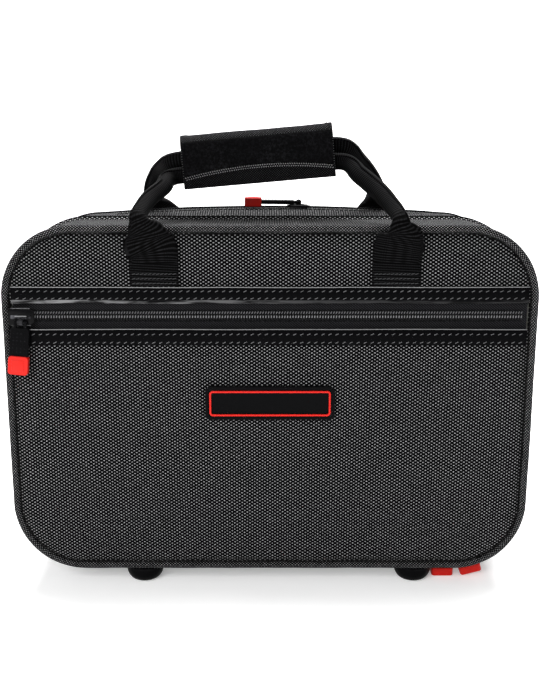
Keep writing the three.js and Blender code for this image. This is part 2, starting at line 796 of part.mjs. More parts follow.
// One webbing strap from anchor to anchor. The inwards way runs from the strap's own face.
function strapLoop(side) {
  const { left, right } = side < 0 ? strapShares.front : strapShares.back;
  const drop = side < 0 ? frontStrapDrop : backStrapDrop;
  const seat = webbingThickness / 2 + fitGap;
  const startZ = anchorTop + fitGap;
  const tilt = (gripTilt * Math.PI) / 180;
  const gripReach = (gripLength / 2 + gripLeadIn) * Math.cos(tilt);
  const gripLine = (x) => gripMiddleZ - drop + (x - gripMiddleX) * Math.tan(tilt);
  const gripInset = caseMiddleY - frontY - gripStrapHalfDepth - fitGap;
  const inGrip = (share) => {
    const x = gripMiddleX + share * gripReach;
    return [x, gripInset, gripLine(x), gripStrapHalfHeight, gripStrapHalfDepth];
  };
  const leg = (shares, anchorX, outwards) => shares.map(({ out, inwards, rise, wide, thick }) => [
    anchorX + outwards * out * webbingWidth,
    inwards * (gripInset + seat) - seat,
    startZ + rise * (gripLine(gripMiddleX + outwards * gripReach) - startZ),
    (wide * webbingWidth) / 2,
    (thick * webbingThickness) / 2,
  ]);
  const places = [
    ...leg(left, leftAnchorX, -1),
    ...gripRunShares.map(inGrip),
    ...leg(right, rightAnchorX, 1).reverse(),
  ];
  const faceY = side < 0 ? frontY : backY;
  const route = new THREE.CatmullRomCurve3(places.map(([x, inwards, z]) => new THREE.Vector3(x, inwards, z)));
  const widths = places.map(([, , , wide, thick]) => new THREE.Vector3(wide, thick, 0));
  const sizes = new THREE.CatmullRomCurve3(widths);
  const acrossDepth = new THREE.Vector3(0, 1, 0);
  const rings = [];
  const steps = 54;
  const corners = 12;
  for (let step = 0; step <= steps; step += 1) {
    const share = step / steps;
    const drawn = route.getPoint(share);
    const middle = new THREE.Vector3(drawn.x, faceY - side * Math.min(drawn.y, gripInset), drawn.z);
    const size = sizes.getPoint(share);
    const ahead = step === 0 || step === steps
      ? new THREE.Vector3(0, 0, step === 0 ? 1 : -1)
      : route.getTangent(share);
    ahead.y *= -side;
    const wide = new THREE.Vector3().crossVectors(acrossDepth, ahead).normalize();
    const thick = new THREE.Vector3().crossVectors(ahead, wide).normalize();
    rings.push(Array.from({ length: corners }, (_, corner) => {
      const angle = ((corner + 0.5) / corners) * 2 * Math.PI;
      return middle.clone()
        .addScaledVector(wide, size.x * Math.cos(angle))
        .addScaledVector(thick, size.y * Math.sin(angle));
    }));
  }
  return loft(rings);
}

function strapAnchor(x, side) {
  const near = (side < 0 ? frontY : backY) + side * fitGap;
  const far = near + side * webbingThickness;
  return box(
    new THREE.Vector3(x - webbingWidth / 2, Math.min(near, far), anchorBottom),
    new THREE.Vector3(x + webbingWidth / 2, Math.max(near, far), anchorTop),
  );
}

// Grip pieces are drawn about the grip's middle, with X along it, then tilted into place.

function placeGrip(geometry) {
  return geometry.rotateY((-gripTilt * Math.PI) / 180).translate(gripMiddleX, caseMiddleY, gripMiddleZ);
}

function gripWrap() {
  const outer = roundedRectangle(gripHalfDepth, gripHalfHeight, gripCorner, 4);
  const inner = roundedRectangle(
    gripHalfDepth - gripThickness, gripHalfHeight - gripThickness, gripCorner - gripThickness, 4);
  const shape = new THREE.Shape(outer);
  shape.holes = [new THREE.Path(inner)];
  const wrap = new THREE.ExtrudeGeometry(shape, { depth: gripLength, bevelEnabled: false });
  wrap.translate(0, 0, -gripLength / 2).rotateX(Math.PI / 2).rotateZ(Math.PI / 2);
  return placeGrip(wrap);
}

function gripLoopPanel() {
  const farY = -gripHalfDepth - fitGap;
  const halfLength = gripLength / 2 - gripPanelMargin;
  const top = gripHalfHeight - gripCorner / 3;
  return placeGrip(box(
    new THREE.Vector3(-halfLength, farY - gripPanelThickness, top - gripPanelHeight),
    new THREE.Vector3(halfLength, farY, top),
  ));
}

function gripFlap() {
  const farY = -gripHalfDepth - fitGap;
  const halfLength = gripLength / 2;
  const low = -gripHalfHeight;
  const outline = [new THREE.Vector2(-halfLength, low), new THREE.Vector2(halfLength, low)];
  const steps = 8;
  for (let step = 0; step <= steps; step += 1) {
    const along = 1 - (2 * step) / steps;
    const top = low + gripFlapHeight - gripFlapBow * along * along;
    outline.push(new THREE.Vector2(halfLength * along, top));
  }
  return placeGrip(frontPlate(outline, farY - gripFlapThickness, farY));
}

// Assembly

const clarinetCase = new THREE.Group();

function add(name, geometry, material, parent = clarinetCase) {
  const mesh = new THREE.Mesh(geometry, materials[material]);
  mesh.name = name;
  parent.add(mesh);
  return mesh;
}

// Adds a slider with its pull. The basis is the way along the chain, the way across it and the way out.
// The pull points across the chain, or back along it, and droops by an angle in degrees.
function addSlider(names, place, basis, pull) {
  const group = new THREE.Group();
  group.applyMatrix4(new THREE.Matrix4().makeBasis(...basis).setPosition(place));
  clarinetCase.add(group);
  add(names.slider, sliderSolid(pull.pinOffset, pull.alongChain), 'sliderMetal', group);
  const hand = new THREE.Group();
  const plateTop = sliderLift - chainInset + sliderPlate;
  const pinPlace = new THREE.Vector3(
    pull.alongChain ? pull.pinOffset : 0, pull.alongChain ? 0 : pull.pinOffset, plateTop + pinHeight);
  hand.position.copy(pinPlace);
  hand.rotation.set(0, (pull.droop * Math.PI) / 180, pull.alongChain ? Math.PI : Math.PI / 2, 'ZYX');
  group.add(hand);
  add(names.pull, pullSolid(pull.length), 'blackRubber', hand);
  add(names.tip, pullTip(pull.length, pull.tipWidth, pull.tipThickness), 'redRubber', hand);
}

const plainTip = { tipWidth: pullTipWidth, tipThickness: pullTipThickness };
const mainPull = {
  pinOffset: sidePinOffset,
  droop: -mainPullDroop,
  length: mainPullLength,
  tipWidth: mainPullTipWidth,
  tipThickness: mainPullTipThickness,
};
const axisX = new THREE.Vector3(1, 0, 0);
const axisY = new THREE.Vector3(0, 1, 0);
const axisZ = new THREE.Vector3(0, 0, 1);

add('lid_foam_shell', lidFoamShell(), 'foam');
add('lid_lining', lidLining(), 'plush');
add('front_upper_panel', frontFace(upperTrimBottom + trimOverlap, topZ), 'cloth');
add('pocket_front_panel', frontFace(bottomZ, lowerTrimTop - trimOverlap), 'cloth');
add('pocket_lining', pocketLining(), 'plush');
add('upper_trim_strip', trimStrip(upperTrimBottom, upperTrimTop - fitGap), 'vinyl');
add('lower_trim_strip', trimStrip(lowerTrimBottom, lowerTrimTop), 'vinyl');
add('pocket_zip_tape', pocketTape(), 'zipTape');
add('pocket_zip_chain', pocketChain(), 'zipCoil');
add('badge_plate', badgePlate(), 'blackRubber');
add('badge_frame', badgeFrame(), 'redRubber');
add('lid_side_band', lidBand(), 'cloth');
add('front_piping', wall(perimeter(), pipingSection(frontY + pipingRadius), true), 'piping');
add('lid_zip_tape', seamTape(-1), 'zipTape');
add('lid_zip_chain', seamChain(-1), 'zipCoil');
add('lid_hinge_cloth', hingeCloth(-1), 'cloth');

add('body_foam_shell', bodyFoamShell(), 'foam');
add('instrument_tray', instrumentTray(), 'plush');
add('back_panel', filled([[panelInset, backY - clothThickness], [panelInset, backY]]), 'cloth');
add('rear_pocket_lining', rearLining(), 'plush');
add('body_side_band', bodyBand(), 'cloth');
add('back_piping', wall(perimeter(), pipingSection(backY - pipingRadius), true), 'piping');
add('rear_zip_tape', rearTape(), 'zipTape');
add('rear_zip_chain', rearChain(), 'zipCoil');
add('body_zip_tape', seamTape(1), 'zipTape');
add('body_zip_chain', seamChain(1), 'zipCoil');
add('body_hinge_cloth', hingeCloth(1), 'cloth');

for (const place of footPlaces) {
  add(`${place.name}_foot`, foot(place), 'blackRubber');
  add(`${place.name}_foot_screw`, footScrew(place), 'screwSteel');
}

addSlider(
  { slider: 'pocket_slider', pull: 'pocket_pull', tip: 'pocket_pull_tip' },
  new THREE.Vector3(pocketSliderX, frontY - pocketZipDrop, pocketZipZ),
  [axisX.clone().negate(), axisZ.clone().negate(), axisY.clone().negate()],
  { pinOffset: sidePinOffset, droop: 0, length: pocketPullLength, ...plainTip },
);

addSlider(
  { slider: 'main_slider_left', pull: 'main_pull_left', tip: 'main_pull_tip_left' },
  new THREE.Vector3(halfFlat - leftSliderBeforeCorner, seamY, bottomZ),
  [axisX, axisY.clone().negate(), axisZ.clone().negate()],
  mainPull,
);

const cornerAngle = Math.asin(rightSliderPastCorner / cornerRadius);
const cornerAlong = new THREE.Vector3(Math.cos(cornerAngle), 0, Math.sin(cornerAngle));
const cornerOut = new THREE.Vector3(Math.sin(cornerAngle), 0, -Math.cos(cornerAngle));
addSlider(
  { slider: 'main_slider_right', pull: 'main_pull_right', tip: 'main_pull_tip_right' },
  new THREE.Vector3(halfFlat, seamY, bottomZ + cornerRadius).addScaledVector(cornerOut, cornerRadius),
  [cornerAlong, axisY.clone().negate(), cornerOut],
  mainPull,
);

const rearAngle = Math.asin(rearSliderX / crownRadius);
const rearAlong = new THREE.Vector3(Math.cos(rearAngle), 0, -Math.sin(rearAngle));
const rearOut = new THREE.Vector3(Math.sin(rearAngle), 0, Math.cos(rearAngle));
addSlider(
  { slider: 'rear_slider', pull: 'rear_pull', tip: 'rear_pull_tip' },
  new THREE.Vector3(0, rearZipY, topZ + backCrown - crownRadius).addScaledVector(rearOut, crownRadius),
  [rearAlong, axisY, rearOut],
  { pinOffset: 0, alongChain: true, droop: 0, length: rearPullLength, ...plainTip },
);

for (const [name, side] of [['front', -1], ['back', 1]]) {
  add(`${name}_strap_anchor_left`, strapAnchor(leftAnchorX, side), 'webbing');
  add(`${name}_strap_anchor_right`, strapAnchor(rightAnchorX, side), 'webbing');
  add(`${name}_handle_strap`, strapLoop(side), 'webbing');
}
add('grip_wrap', gripWrap(), 'cloth');
add('grip_loop_panel', gripLoopPanel(), 'plush');
add('grip_flap', gripFlap(), 'cloth');

export default clarinetCase;
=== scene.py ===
"""Clarinet case in woven nylon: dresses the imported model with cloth, webbing, zips, rubber and foam.

Metres, X to the right, Y to the back, Z up, as in the frame.
"""

import json
import math
import random

import bmesh
import bpy
from bpy.props import FloatProperty, FloatVectorProperty, IntProperty, PointerProperty
from bpy.types import Operator, Panel, PropertyGroup
from mathutils import Matrix, Vector, noise


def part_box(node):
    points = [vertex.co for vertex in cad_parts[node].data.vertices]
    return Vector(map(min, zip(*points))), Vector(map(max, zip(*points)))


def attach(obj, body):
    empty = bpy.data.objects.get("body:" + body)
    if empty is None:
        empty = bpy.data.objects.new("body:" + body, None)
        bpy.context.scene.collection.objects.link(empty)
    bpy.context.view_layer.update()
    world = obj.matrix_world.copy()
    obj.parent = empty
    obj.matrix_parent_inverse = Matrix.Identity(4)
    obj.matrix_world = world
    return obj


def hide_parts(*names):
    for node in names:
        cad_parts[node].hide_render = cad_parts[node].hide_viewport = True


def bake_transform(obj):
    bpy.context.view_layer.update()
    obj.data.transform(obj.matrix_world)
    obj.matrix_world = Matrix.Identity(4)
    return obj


bl_info = {
    "name": "Clarinet case dressing",
    "version": (1, 0, 0),
    "blender": (4, 5, 0),
    "location": "3D View > Sidebar > Case",
    "description": "Woven cloth, piping, webbing, zips, rubber and foam of a soft clarinet case",
    "category": "Object",
}

MM = 0.001
MERGE = 0.01 * MM
AXIS_X = Vector((1, 0, 0))
AXIS_Y = Vector((0, 1, 0))
AXIS_Z = Vector((0, 0, 1))

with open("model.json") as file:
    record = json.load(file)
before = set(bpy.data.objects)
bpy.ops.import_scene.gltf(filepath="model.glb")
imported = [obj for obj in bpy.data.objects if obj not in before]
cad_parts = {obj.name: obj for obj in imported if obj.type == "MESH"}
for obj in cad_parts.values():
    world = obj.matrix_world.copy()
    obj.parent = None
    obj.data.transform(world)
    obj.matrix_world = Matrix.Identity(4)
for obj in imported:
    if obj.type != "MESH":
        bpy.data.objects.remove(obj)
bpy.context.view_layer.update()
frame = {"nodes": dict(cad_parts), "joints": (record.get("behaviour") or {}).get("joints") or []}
lid_band_low, lid_band_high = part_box("lid_side_band")
front_low, front_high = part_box("pocket_front_panel")
back_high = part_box("back_panel")[1]
seam_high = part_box("lid_zip_chain")[1]
rear_chain_low, rear_chain_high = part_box("rear_zip_chain")


# Sizes and colours


def length_setting(label, text, millimetres):
    return FloatProperty(name=label, description=text, default=millimetres * MM, unit="LENGTH", precision=5)


def colour_setting(label, text, colour):
    return FloatVectorProperty(name=label, description=text, default=colour, subtype="COLOR", min=0, max=1)


class CaseSizes(PropertyGroup):
    corner_radius: length_setting("Corner radius", "Radius of the case's outline at its corners", 50)
    band_inset: length_setting("Band inset", "How far the side cloth lies inside the piping's edge", 1.2)
    cloth_thickness: length_setting("Cloth thickness", "Thickness of the woven nylon with its backing", 1.1)
    back_crown: length_setting("Back crown", "How far the top of the back half bulges up", 5)
    crown_start: length_setting("Crown start", "Distance from the seam to where the crown begins", 15)
    crown_margin: length_setting("Crown margin", "Distance from the rear zip to where the crown is full", 9.5)
    piping_radius: length_setting("Piping radius", "Radius of the bound piping", 2.5)
    piping_groove: length_setting("Piping groove", "Depth of the stitched groove beside the piping", 2.0)
    panel_reach: length_setting("Panel reach", "How far the panels reach towards the piping", 0.9)
    lip_reach: length_setting("Lip reach", "How far the cloth lips stop short of the seam", 0.8)
    pucker: length_setting("Pucker", "Height of the soft waves in the cloth", 0.35)
    weave_width: length_setting("Weave width", "Width of one repeat of the front weave", 3.6)
    weave_height: length_setting("Weave height", "Height of one repeat of the front weave", 2.4)
    stitch_pitch: length_setting("Stitch pitch", "Length of one stitch with its gap", 3.4)
    trim_stitch_pitch: length_setting("Trim stitch pitch", "One stitch of the vinyl with its gap", 4.8)
    stitch_length: length_setting("Stitch length", "Length of the thread that shows in one stitch", 2.4)
    stitch_radius: length_setting("Stitch radius", "Radius of the sewing thread", 0.28)
    tooth_pitch: length_setting("Tooth pitch", "Distance between two coils of a zip", 1.9)
    fit_gap: length_setting("Fit gap", "Gap between two pieces that touch", 0.3)
    grip_tilt: FloatProperty(name="Grip tilt", description="How far the grip leans, in degrees", default=5)
    grip_corner: length_setting("Grip corner", "Radius of the grip wrap's corners", 9)
    grip_wall: length_setting("Grip wall", "Thickness of the padded grip wrap", 2.2)
    grip_lead_in: length_setting("Grip lead in", "How far the straps run straight beside the grip", 7)
    front_strap_drop: length_setting("Front strap drop", "How far it lies under the grip's middle", 9.5)
    back_strap_drop: length_setting("Back strap drop", "How far it lies under the grip's middle", -1.5)
    grip_strap_half_height: length_setting("Strap half height", "Half height of a strap in the grip", 6.4)
    grip_strap_half_depth: length_setting("Strap half depth", "Half depth of a strap in the grip", 6.4)
    flap_bow: length_setting("Flap bow", "How far the flap's edge rises in its middle", 5)
    rib_pitch: length_setting("Rib pitch", "Distance between two ribs of the webbing", 1.7)
    corner_steps: IntProperty(name="Corner steps", description="Faces round each corner", default=20, min=4)
    straight_steps: IntProperty(name="Straight steps", description="Faces in half an edge", default=28, min=2)


class CaseColours(PropertyGroup):
    cloth_thread: colour_setting("Cloth thread", "Light crossings of the woven nylon", (0.29, 0.29, 0.296))
    cloth_gap: colour_setting("Cloth gap", "Dark gaps of the woven nylon", (0.001, 0.001, 0.0012))
    webbing: colour_setting("Webbing", "Black webbing of the handles", (0.005, 0.005, 0.0054))
    vinyl: colour_setting("Vinyl", "Glossy black vinyl trim", (0.002, 0.002, 0.0023))
    # Painted highlight: the light colour of the strips along the vinyl trim's edges, of the upper trim's light
    # runs and of the bar on each slider's ridge.
    vinyl_edge: colour_setting("Vinyl edge", "Rubbed light edge of the vinyl trim", (0.17, 0.17, 0.174))
    # Painted highlight: the light colour of the bars along each slider's rims.
    slider_edge: colour_setting("Slider edge", "Rubbed edge of the sliders' coating", (0.06, 0.06, 0.062))
    zip_tape: colour_setting("Zip tape", "Dark woven zip tape", (0.01, 0.01, 0.011))
    zip_coil: colour_setting("Zip coil", "Nylon coil of the zips", (0.004, 0.004, 0.0043))
    slider: colour_setting("Slider", "Black coated zip slider", (0.003, 0.003, 0.0033))
    black_rubber: colour_setting("Black rubber", "Black pulls, badge and feet", (0.0025, 0.0025, 0.0028))
    red_rubber: colour_setting("Red rubber", "Red tips of the pulls", (0.57, 0.012, 0.007))
    # Also the colour of the painted glints in the upper row on the pocket zip.
    light_thread: colour_setting("Light thread", "Sewing thread on the trim", (0.13, 0.13, 0.134))
    # Also the colour of the dark capsules that paint the shade in the piping's groove.
    dark_thread: colour_setting("Dark thread", "Sewing thread on webbing and piping", (0.002, 0.002, 0.0021))
    webbing_thread: colour_setting("Webbing thread", "Sewing thread on the straps' ends", (0.05, 0.05, 0.052))
    # Also the colour of the painted glints along the middle of the pocket zip's coil.
    bright_thread: colour_setting("Bright thread", "Sewing thread along the grip's flap", (0.22, 0.22, 0.225))
    foam: colour_setting("Foam", "Stiff foam shells", (0.62, 0.61, 0.57))
    plush: colour_setting("Plush", "Plush lining of the tray and the lid", (0.012, 0.012, 0.014))
    steel: colour_setting("Steel", "Foot screws", (0.32, 0.32, 0.33))
    floor: colour_setting("Floor", "Pale floor and backdrop", (0.93, 0.93, 0.93))


def sizes():
    return bpy.context.scene.case_sizes


def colours():
    return bpy.context.scene.case_colours


class Outline:
    """The case's outline seen from the front, from its outermost edge, with its places along Y."""

    def __init__(self):
        size = sizes()
        self.radius = size.corner_radius
        self.half_width = lid_band_high.x + size.band_inset
        self.bottom = lid_band_low.z - size.band_inset
        self.top = lid_band_high.z + size.band_inset
        self.half_flat = self.half_width - self.radius
        self.middle_z = (self.bottom + self.top) / 2
        self.half_rise = (self.top - self.bottom) / 2 - self.radius
        self.side_low, self.side_high = self.middle_z - self.half_rise, self.middle_z + self.half_rise
        self.front_y = front_low.y
        self.back_y = back_high.y
        self.seam_y = (seam_high.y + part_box("body_zip_chain")[0].y) / 2
        self.rear_zip_y = (rear_chain_low.y + rear_chain_high.y) / 2
        self.crown_start_y = self.seam_y + size.crown_start
        self.crown_end_y = self.rear_zip_y - size.crown_margin
        crown = size.back_crown
        self.crown_radius = (self.half_flat**2 + crown**2) / (2 * crown)

    def crown(self, x, y):
        """How far the top is lifted at a place, most of all round the rear zip."""
        share = (y - self.crown_start_y) / (self.crown_end_y - self.crown_start_y)
        share = min(1.0, max(0.0, share))
        if share == 0 or abs(x) >= self.half_flat:
            return 0.0
        rise = math.sqrt(self.crown_radius**2 - x * x) - (self.crown_radius - sizes().back_crown)
        return share * max(0.0, rise)

    def lift(self, bm):
        """Raises the vertices that lie on the flat top of the back half."""
        for vert in bm.verts:
            if vert.co.z > self.side_high:
                depth = (vert.co.z - self.side_high) / self.radius
                vert.co.z += self.crown(vert.co.x, vert.co.y) * min(1.0, max(0.0, depth))

    def along(self, x, z):
        """Arc length round the outline from the middle of the bottom, anticlockwise from the front."""
        quarter = self.radius * math.pi / 2
        side = 2 * self.half_rise
        low, high = self.side_low, self.side_high
        if z <= low and abs(x) <= self.half_flat:
            return x if x >= 0 else self.length() + x
        if z >= high and abs(x) <= self.half_flat:
            return 2 * self.half_flat + 2 * quarter + side - x
        if low < z < high:
            if x > 0:
                return self.half_flat + quarter + (z - low)
            return self.half_flat * 3 + 3 * quarter + side + (high - z)
        centre_x = math.copysign(self.half_flat, x)
        centre_z = low if z <= low else high
        angle = math.atan2(z - centre_z, x - centre_x) % (2 * math.pi)
        start = {(1, -1): (1.5 * math.pi, self.half_flat),
                 (1, 1): (0.0, self.half_flat + quarter + side),
                 (-1, 1): (0.5 * math.pi, 3 * self.half_flat + 2 * quarter + side),
                 (-1, -1): (math.pi, 3 * self.half_flat + 3 * quarter + 2 * side)}
        key = (1 if x > 0 else -1, -1 if z <= low else 1)
        first, before = start[key]
        return before + self.radius * ((angle - first) % (2 * math.pi))

    def length(self):
        return 4 * self.half_flat + 4 * self.half_rise + 2 * math.pi * self.radius


# Meshes


def mm(*values):
    """Millimetres as metres."""
    return tuple(value * MM for value in values)


def edges_of(result):
    return [item for item in result["geom"] if isinstance(item, bmesh.types.BMEdge)]


def verts_of(result):
    return [item for item in result["geom"] if isinstance(item, bmesh.types.BMVert)]


def polyline(bm, points, closed=False):
    """Joins a few points with edges, and returns the edges."""
    verts = [bm.verts.new(point) for point in points]
    pairs = list(zip(verts, verts[1:]))
    if closed:
        pairs.append((verts[-1], verts[0]))
    return [bm.edges.new(pair) for pair in pairs]


def push(bm, edges, offset, steps):
    """Extrudes edges by an offset in equal steps, and returns the last edges."""
    for _ in range(steps):
        result = bmesh.ops.extrude_edge_only(bm, edges=edges)
        edges = edges_of(result)
        bmesh.ops.translate(bm, verts=verts_of(result), vec=Vector(offset) / steps)
    return edges


def turn(bm, edges, centre, angle, steps):
    """Spins edges about an axis along Y, and returns the last edges."""
    verts = list({vert for edge in edges for vert in edge.verts})
    result = bmesh.ops.spin(bm, geom=verts + edges, cent=centre, axis=AXIS_Y, dvec=(0, 0, 0),
                            angle=angle, space=Matrix.Identity(4), steps=steps, use_merge=False,
                            use_normal_flip=False, use_duplicate=False)
    return [item for item in result["geom_last"] if isinstance(item, bmesh.types.BMEdge)]


def sweep_right(bm, edges, case):
    """Carries a section from the right of the bottom, up the right side and over the top to the left."""
    size = sizes()
    low, high = case.side_low, case.side_high
    quarter = -math.pi / 2
    edges = turn(bm, edges, (case.half_flat, 0, low), quarter, size.corner_steps)
    edges = push(bm, edges, (0, 0, high - low), size.straight_steps)
    edges = turn(bm, edges, (case.half_flat, 0, high), quarter, size.corner_steps)
    edges = push(bm, edges, (-2 * case.half_flat, 0, 0), 2 * size.straight_steps)
    edges = turn(bm, edges, (-case.half_flat, 0, high), quarter, size.corner_steps)
    edges = push(bm, edges, (0, 0, low - high), size.straight_steps)
    return turn(bm, edges, (-case.half_flat, 0, low), quarter, size.corner_steps)


def section_points(case, x, section):
    """A section's [inset, y] pairs as points under the bottom edge at x."""
    return [(x, y, case.bottom + inset) for inset, y in section]


def round_loop(bm, case, edges):
    """Sweeps edges from the middle of the bottom all the way round the case."""
    steps = sizes().straight_steps
    edges = push(bm, edges, (case.half_flat, 0, 0), steps)
    edges = sweep_right(bm, edges, case)
    push(bm, edges, (case.half_flat, 0, 0), steps)
    bmesh.ops.remove_doubles(bm, verts=bm.verts, dist=2 * MERGE)


def round_strip(bm, case, section, end_x):
    """Sweeps a closed section from the bottom right round to the bottom left, and caps its ends."""
    start = polyline(bm, section_points(case, end_x, section), closed=True)
    edges = push(bm, start, (case.half_flat - end_x, 0, 0), 4)
    edges = sweep_right(bm, edges, case)
    edges = push(bm, edges, (case.half_flat - end_x, 0, 0), 4)
    bmesh.ops.holes_fill(bm, edges=start, sides=0)
    bmesh.ops.holes_fill(bm, edges=edges, sides=0)


def outline_face(bm, case, inset, y):
    """One flat face that fills the case's outline at an inset."""
    result = bmesh.ops.create_grid(bm, x_segments=1, y_segments=1, size=1)
    width = case.half_width - inset
    height = (case.top - case.bottom) / 2 - inset
    bmesh.ops.scale(bm, verts=result["verts"], vec=(width, height, 1))
    bmesh.ops.rotate(bm, verts=result["verts"], cent=(0, 0, 0), matrix=Matrix.Rotation(math.pi / 2, 3, "X"))
    bmesh.ops.translate(bm, verts=result["verts"], vec=(0, y, case.middle_z))
    bmesh.ops.bevel(bm, geom=result["verts"], offset=case.radius - inset, offset_type="OFFSET",
                    segments=sizes().corner_steps, profile=0.5, affect="VERTICES", material=-1)


def corners_of(places):
    """The lowest and the highest corner of a box round some places."""
    places = list(places)
    return [Vector([choose(place[axis] for place in places) for axis in range(3)]) for choose in (min, max)]


def slice_up(bm, pitch):
    """Cuts every face along planes in X and Z, so that the cloth can wave."""
    low, high = corners_of(vert.co for vert in bm.verts)
    for axis, normal in ((0, AXIS_X), (2, AXIS_Z)):
        count = max(1, round((high[axis] - low[axis]) / pitch))
        for step in range(1, count):
            cut(bm, low + (high - low) * (step / count), normal)


def cut(bm, place, normal, clear=False):
    """Cuts all faces along a plane, and may clear what lies where its normal points."""
    geometry = bm.verts[:] + bm.edges[:] + bm.faces[:]
    bmesh.ops.bisect_plane(bm, geom=geometry, dist=MERGE, plane_co=place, plane_no=normal, clear_outer=clear)


def seeded(place, pitch, seed):
    """A place in the noise, set apart by its seed."""
    return place / pitch + Vector((seed, 2.3 * seed, 3.1 * seed))


def wave(bm, direction, height, pitch, seed):
    """Moves vertices along a direction by soft noise."""
    for vert in bm.verts:
        vert.co += Vector(direction) * height * noise.noise(seeded(vert.co, pitch, seed))


def bevel_sharp(bm, offset, segments=2, angle=35):
    """Rounds every edge that is sharper than the angle."""
    bm.normal_update()
    limit = math.radians(angle)
    edges = [edge for edge in bm.edges if edge.is_manifold and edge.calc_face_angle(0) > limit]
    verts = list({vert for edge in edges for vert in edge.verts})
    bmesh.ops.bevel(bm, geom=edges + verts, offset=offset, offset_type="OFFSET", segments=segments,
                    profile=0.5, affect="EDGES", material=-1, clamp_overlap=True)


def round_edges(bm, axis, offset, segments):
    """Rounds the edges of a block that run along one axis."""
    edges = [edge for edge in bm.edges if abs((edge.verts[0].co - edge.verts[1].co)[axis]) > 1 * MM]
    bmesh.ops.bevel(bm, geom=edges, offset=offset, offset_type="OFFSET", segments=segments, profile=0.5,
                    affect="EDGES", material=-1)


def finish_mesh(bm, name, angle=40, recalc=True):
    """Writes a bmesh to a new object at the origin."""
    if recalc:
        bmesh.ops.recalc_face_normals(bm, faces=bm.faces)
    mesh = bpy.data.meshes.new(name)
    for face in bm.faces:
        face.smooth = True
    bm.to_mesh(mesh)
    bm.free()
    piece = bpy.data.objects.new(name, mesh)
    bpy.context.scene.collection.objects.link(piece)
    mesh.set_sharp_from_angle(angle=math.radians(angle))
    return piece


def seat(piece, body, slot_name, material, *node_names):
    """Gives a piece its material and its body, and hides the nodes that it stands for; its slot name is not
    used.
    """
    piece.data.materials.clear()
    piece.data.materials.append(material)
    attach(piece, body)
    if node_names:
        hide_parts(*node_names)
    return piece


def dress(bm, name, body, slot_name, finish_name, *node_names, **options):
    """Writes a bmesh as one finished piece of a body."""
    return seat(finish_mesh(bm, name, **options), body, slot_name, finish(finish_name), *node_names)


def outline_uv(bm, case, across=lambda place, middle: place.y):
    """Lays a UV map in metres: round the outline, and across it, which is along Y where not given."""
    layer = bm.loops.layers.uv.new("cloth")
    total = case.length()
    for face in bm.faces:
        middle = face.calc_center_median()
        here = case.along(middle.x, middle.z)
        for loop in face.loops:
            place = loop.vert.co
            u = case.along(place.x, place.z)
            u += total * round((here - u) / total)
            loop[layer].uv = (u, across(place, middle))


def flat_uv(bm, right=0, up=2):
    """Lays a UV map in metres straight onto two axes."""
    layer = bm.loops.layers.uv.new("cloth")
    for face in bm.faces:
        for loop in face.loops:
            loop[layer].uv = (loop.vert.co[right], loop.vert.co[up])


def add_block(bm, low, high):
    """Adds a box between two corners."""
    low, high = Vector(low), Vector(high)
    verts = bmesh.ops.create_cube(bm, size=1)["verts"]
    bmesh.ops.scale(bm, verts=verts, vec=high - low)
    bmesh.ops.translate(bm, verts=verts, vec=(low + high) / 2)


def rounded_block(low, high, rounding, segments=2, pitch=None):
    """A new bmesh with one block whose edges are rounded, cut up where a pitch is given."""
    bm = bmesh.new()
    add_block(bm, low, high)
    bevel_sharp(bm, rounding, segments)
    if pitch:
        slice_up(bm, pitch)
    return bm


# Shader helpers and shared groups


def fill(tree, socket, value):
    """Links a socket to another one, or gives it a plain value."""
    if isinstance(value, bpy.types.NodeSocket):
        tree.links.new(value, socket)
    else:
        socket.default_value = value


def add_node(tree, kind, inputs=None, **settings):
    """Adds a node, sets its settings, and links or fills its inputs."""
    made = tree.nodes.new(kind)
    for key, value in settings.items():
        setattr(made, key, value)
    for key, value in (inputs or {}).items():
        fill(tree, made.inputs[key], value)
    return made


def sum_up(tree, operation, *values, clamp=False):
    """A math node's result."""
    inputs = dict(enumerate(values))
    return add_node(tree, "ShaderNodeMath", inputs, operation=operation, use_clamp=clamp).outputs[0]


def bands(tree, value):
    """A cosine that comes round once for each whole step of a value."""
    return sum_up(tree, "COSINE", sum_up(tree, "MULTIPLY", value, 2 * math.pi))


def vector_sum(tree, operation, inputs):
    """A vector math node's result."""
    return add_node(tree, "ShaderNodeVectorMath", inputs, operation=operation).outputs[0]


def mix_colours(tree, factor, first, second):
    """A colour between two colours."""
    made = add_node(tree, "ShaderNodeMix", {"Factor": factor, 6: first, 7: second}, data_type="RGBA")
    return made.outputs[2]


def ramp(tree, value, low, high, to_low=0.0, to_high=1.0):
    """A smooth step between two values."""
    inputs = {"Value": value, "From Min": low, "From Max": high, "To Min": to_low, "To Max": to_high}
    return add_node(tree, "ShaderNodeMapRange", inputs, interpolation_type="SMOOTHSTEP").outputs[0]


def cloud(tree, place, scale, detail, roughness=0.5, output="Fac"):
    """Soft noise at a place."""
    inputs = {"Vector": place, "Scale": scale, "Detail": detail, "Roughness": roughness}
    return add_node(tree, "ShaderNodeTexNoise", inputs).outputs[output]


def parts_of(tree, place):
    """The three coordinates of a place."""
    return add_node(tree, "ShaderNodeSeparateXYZ", {"Vector": place}).outputs


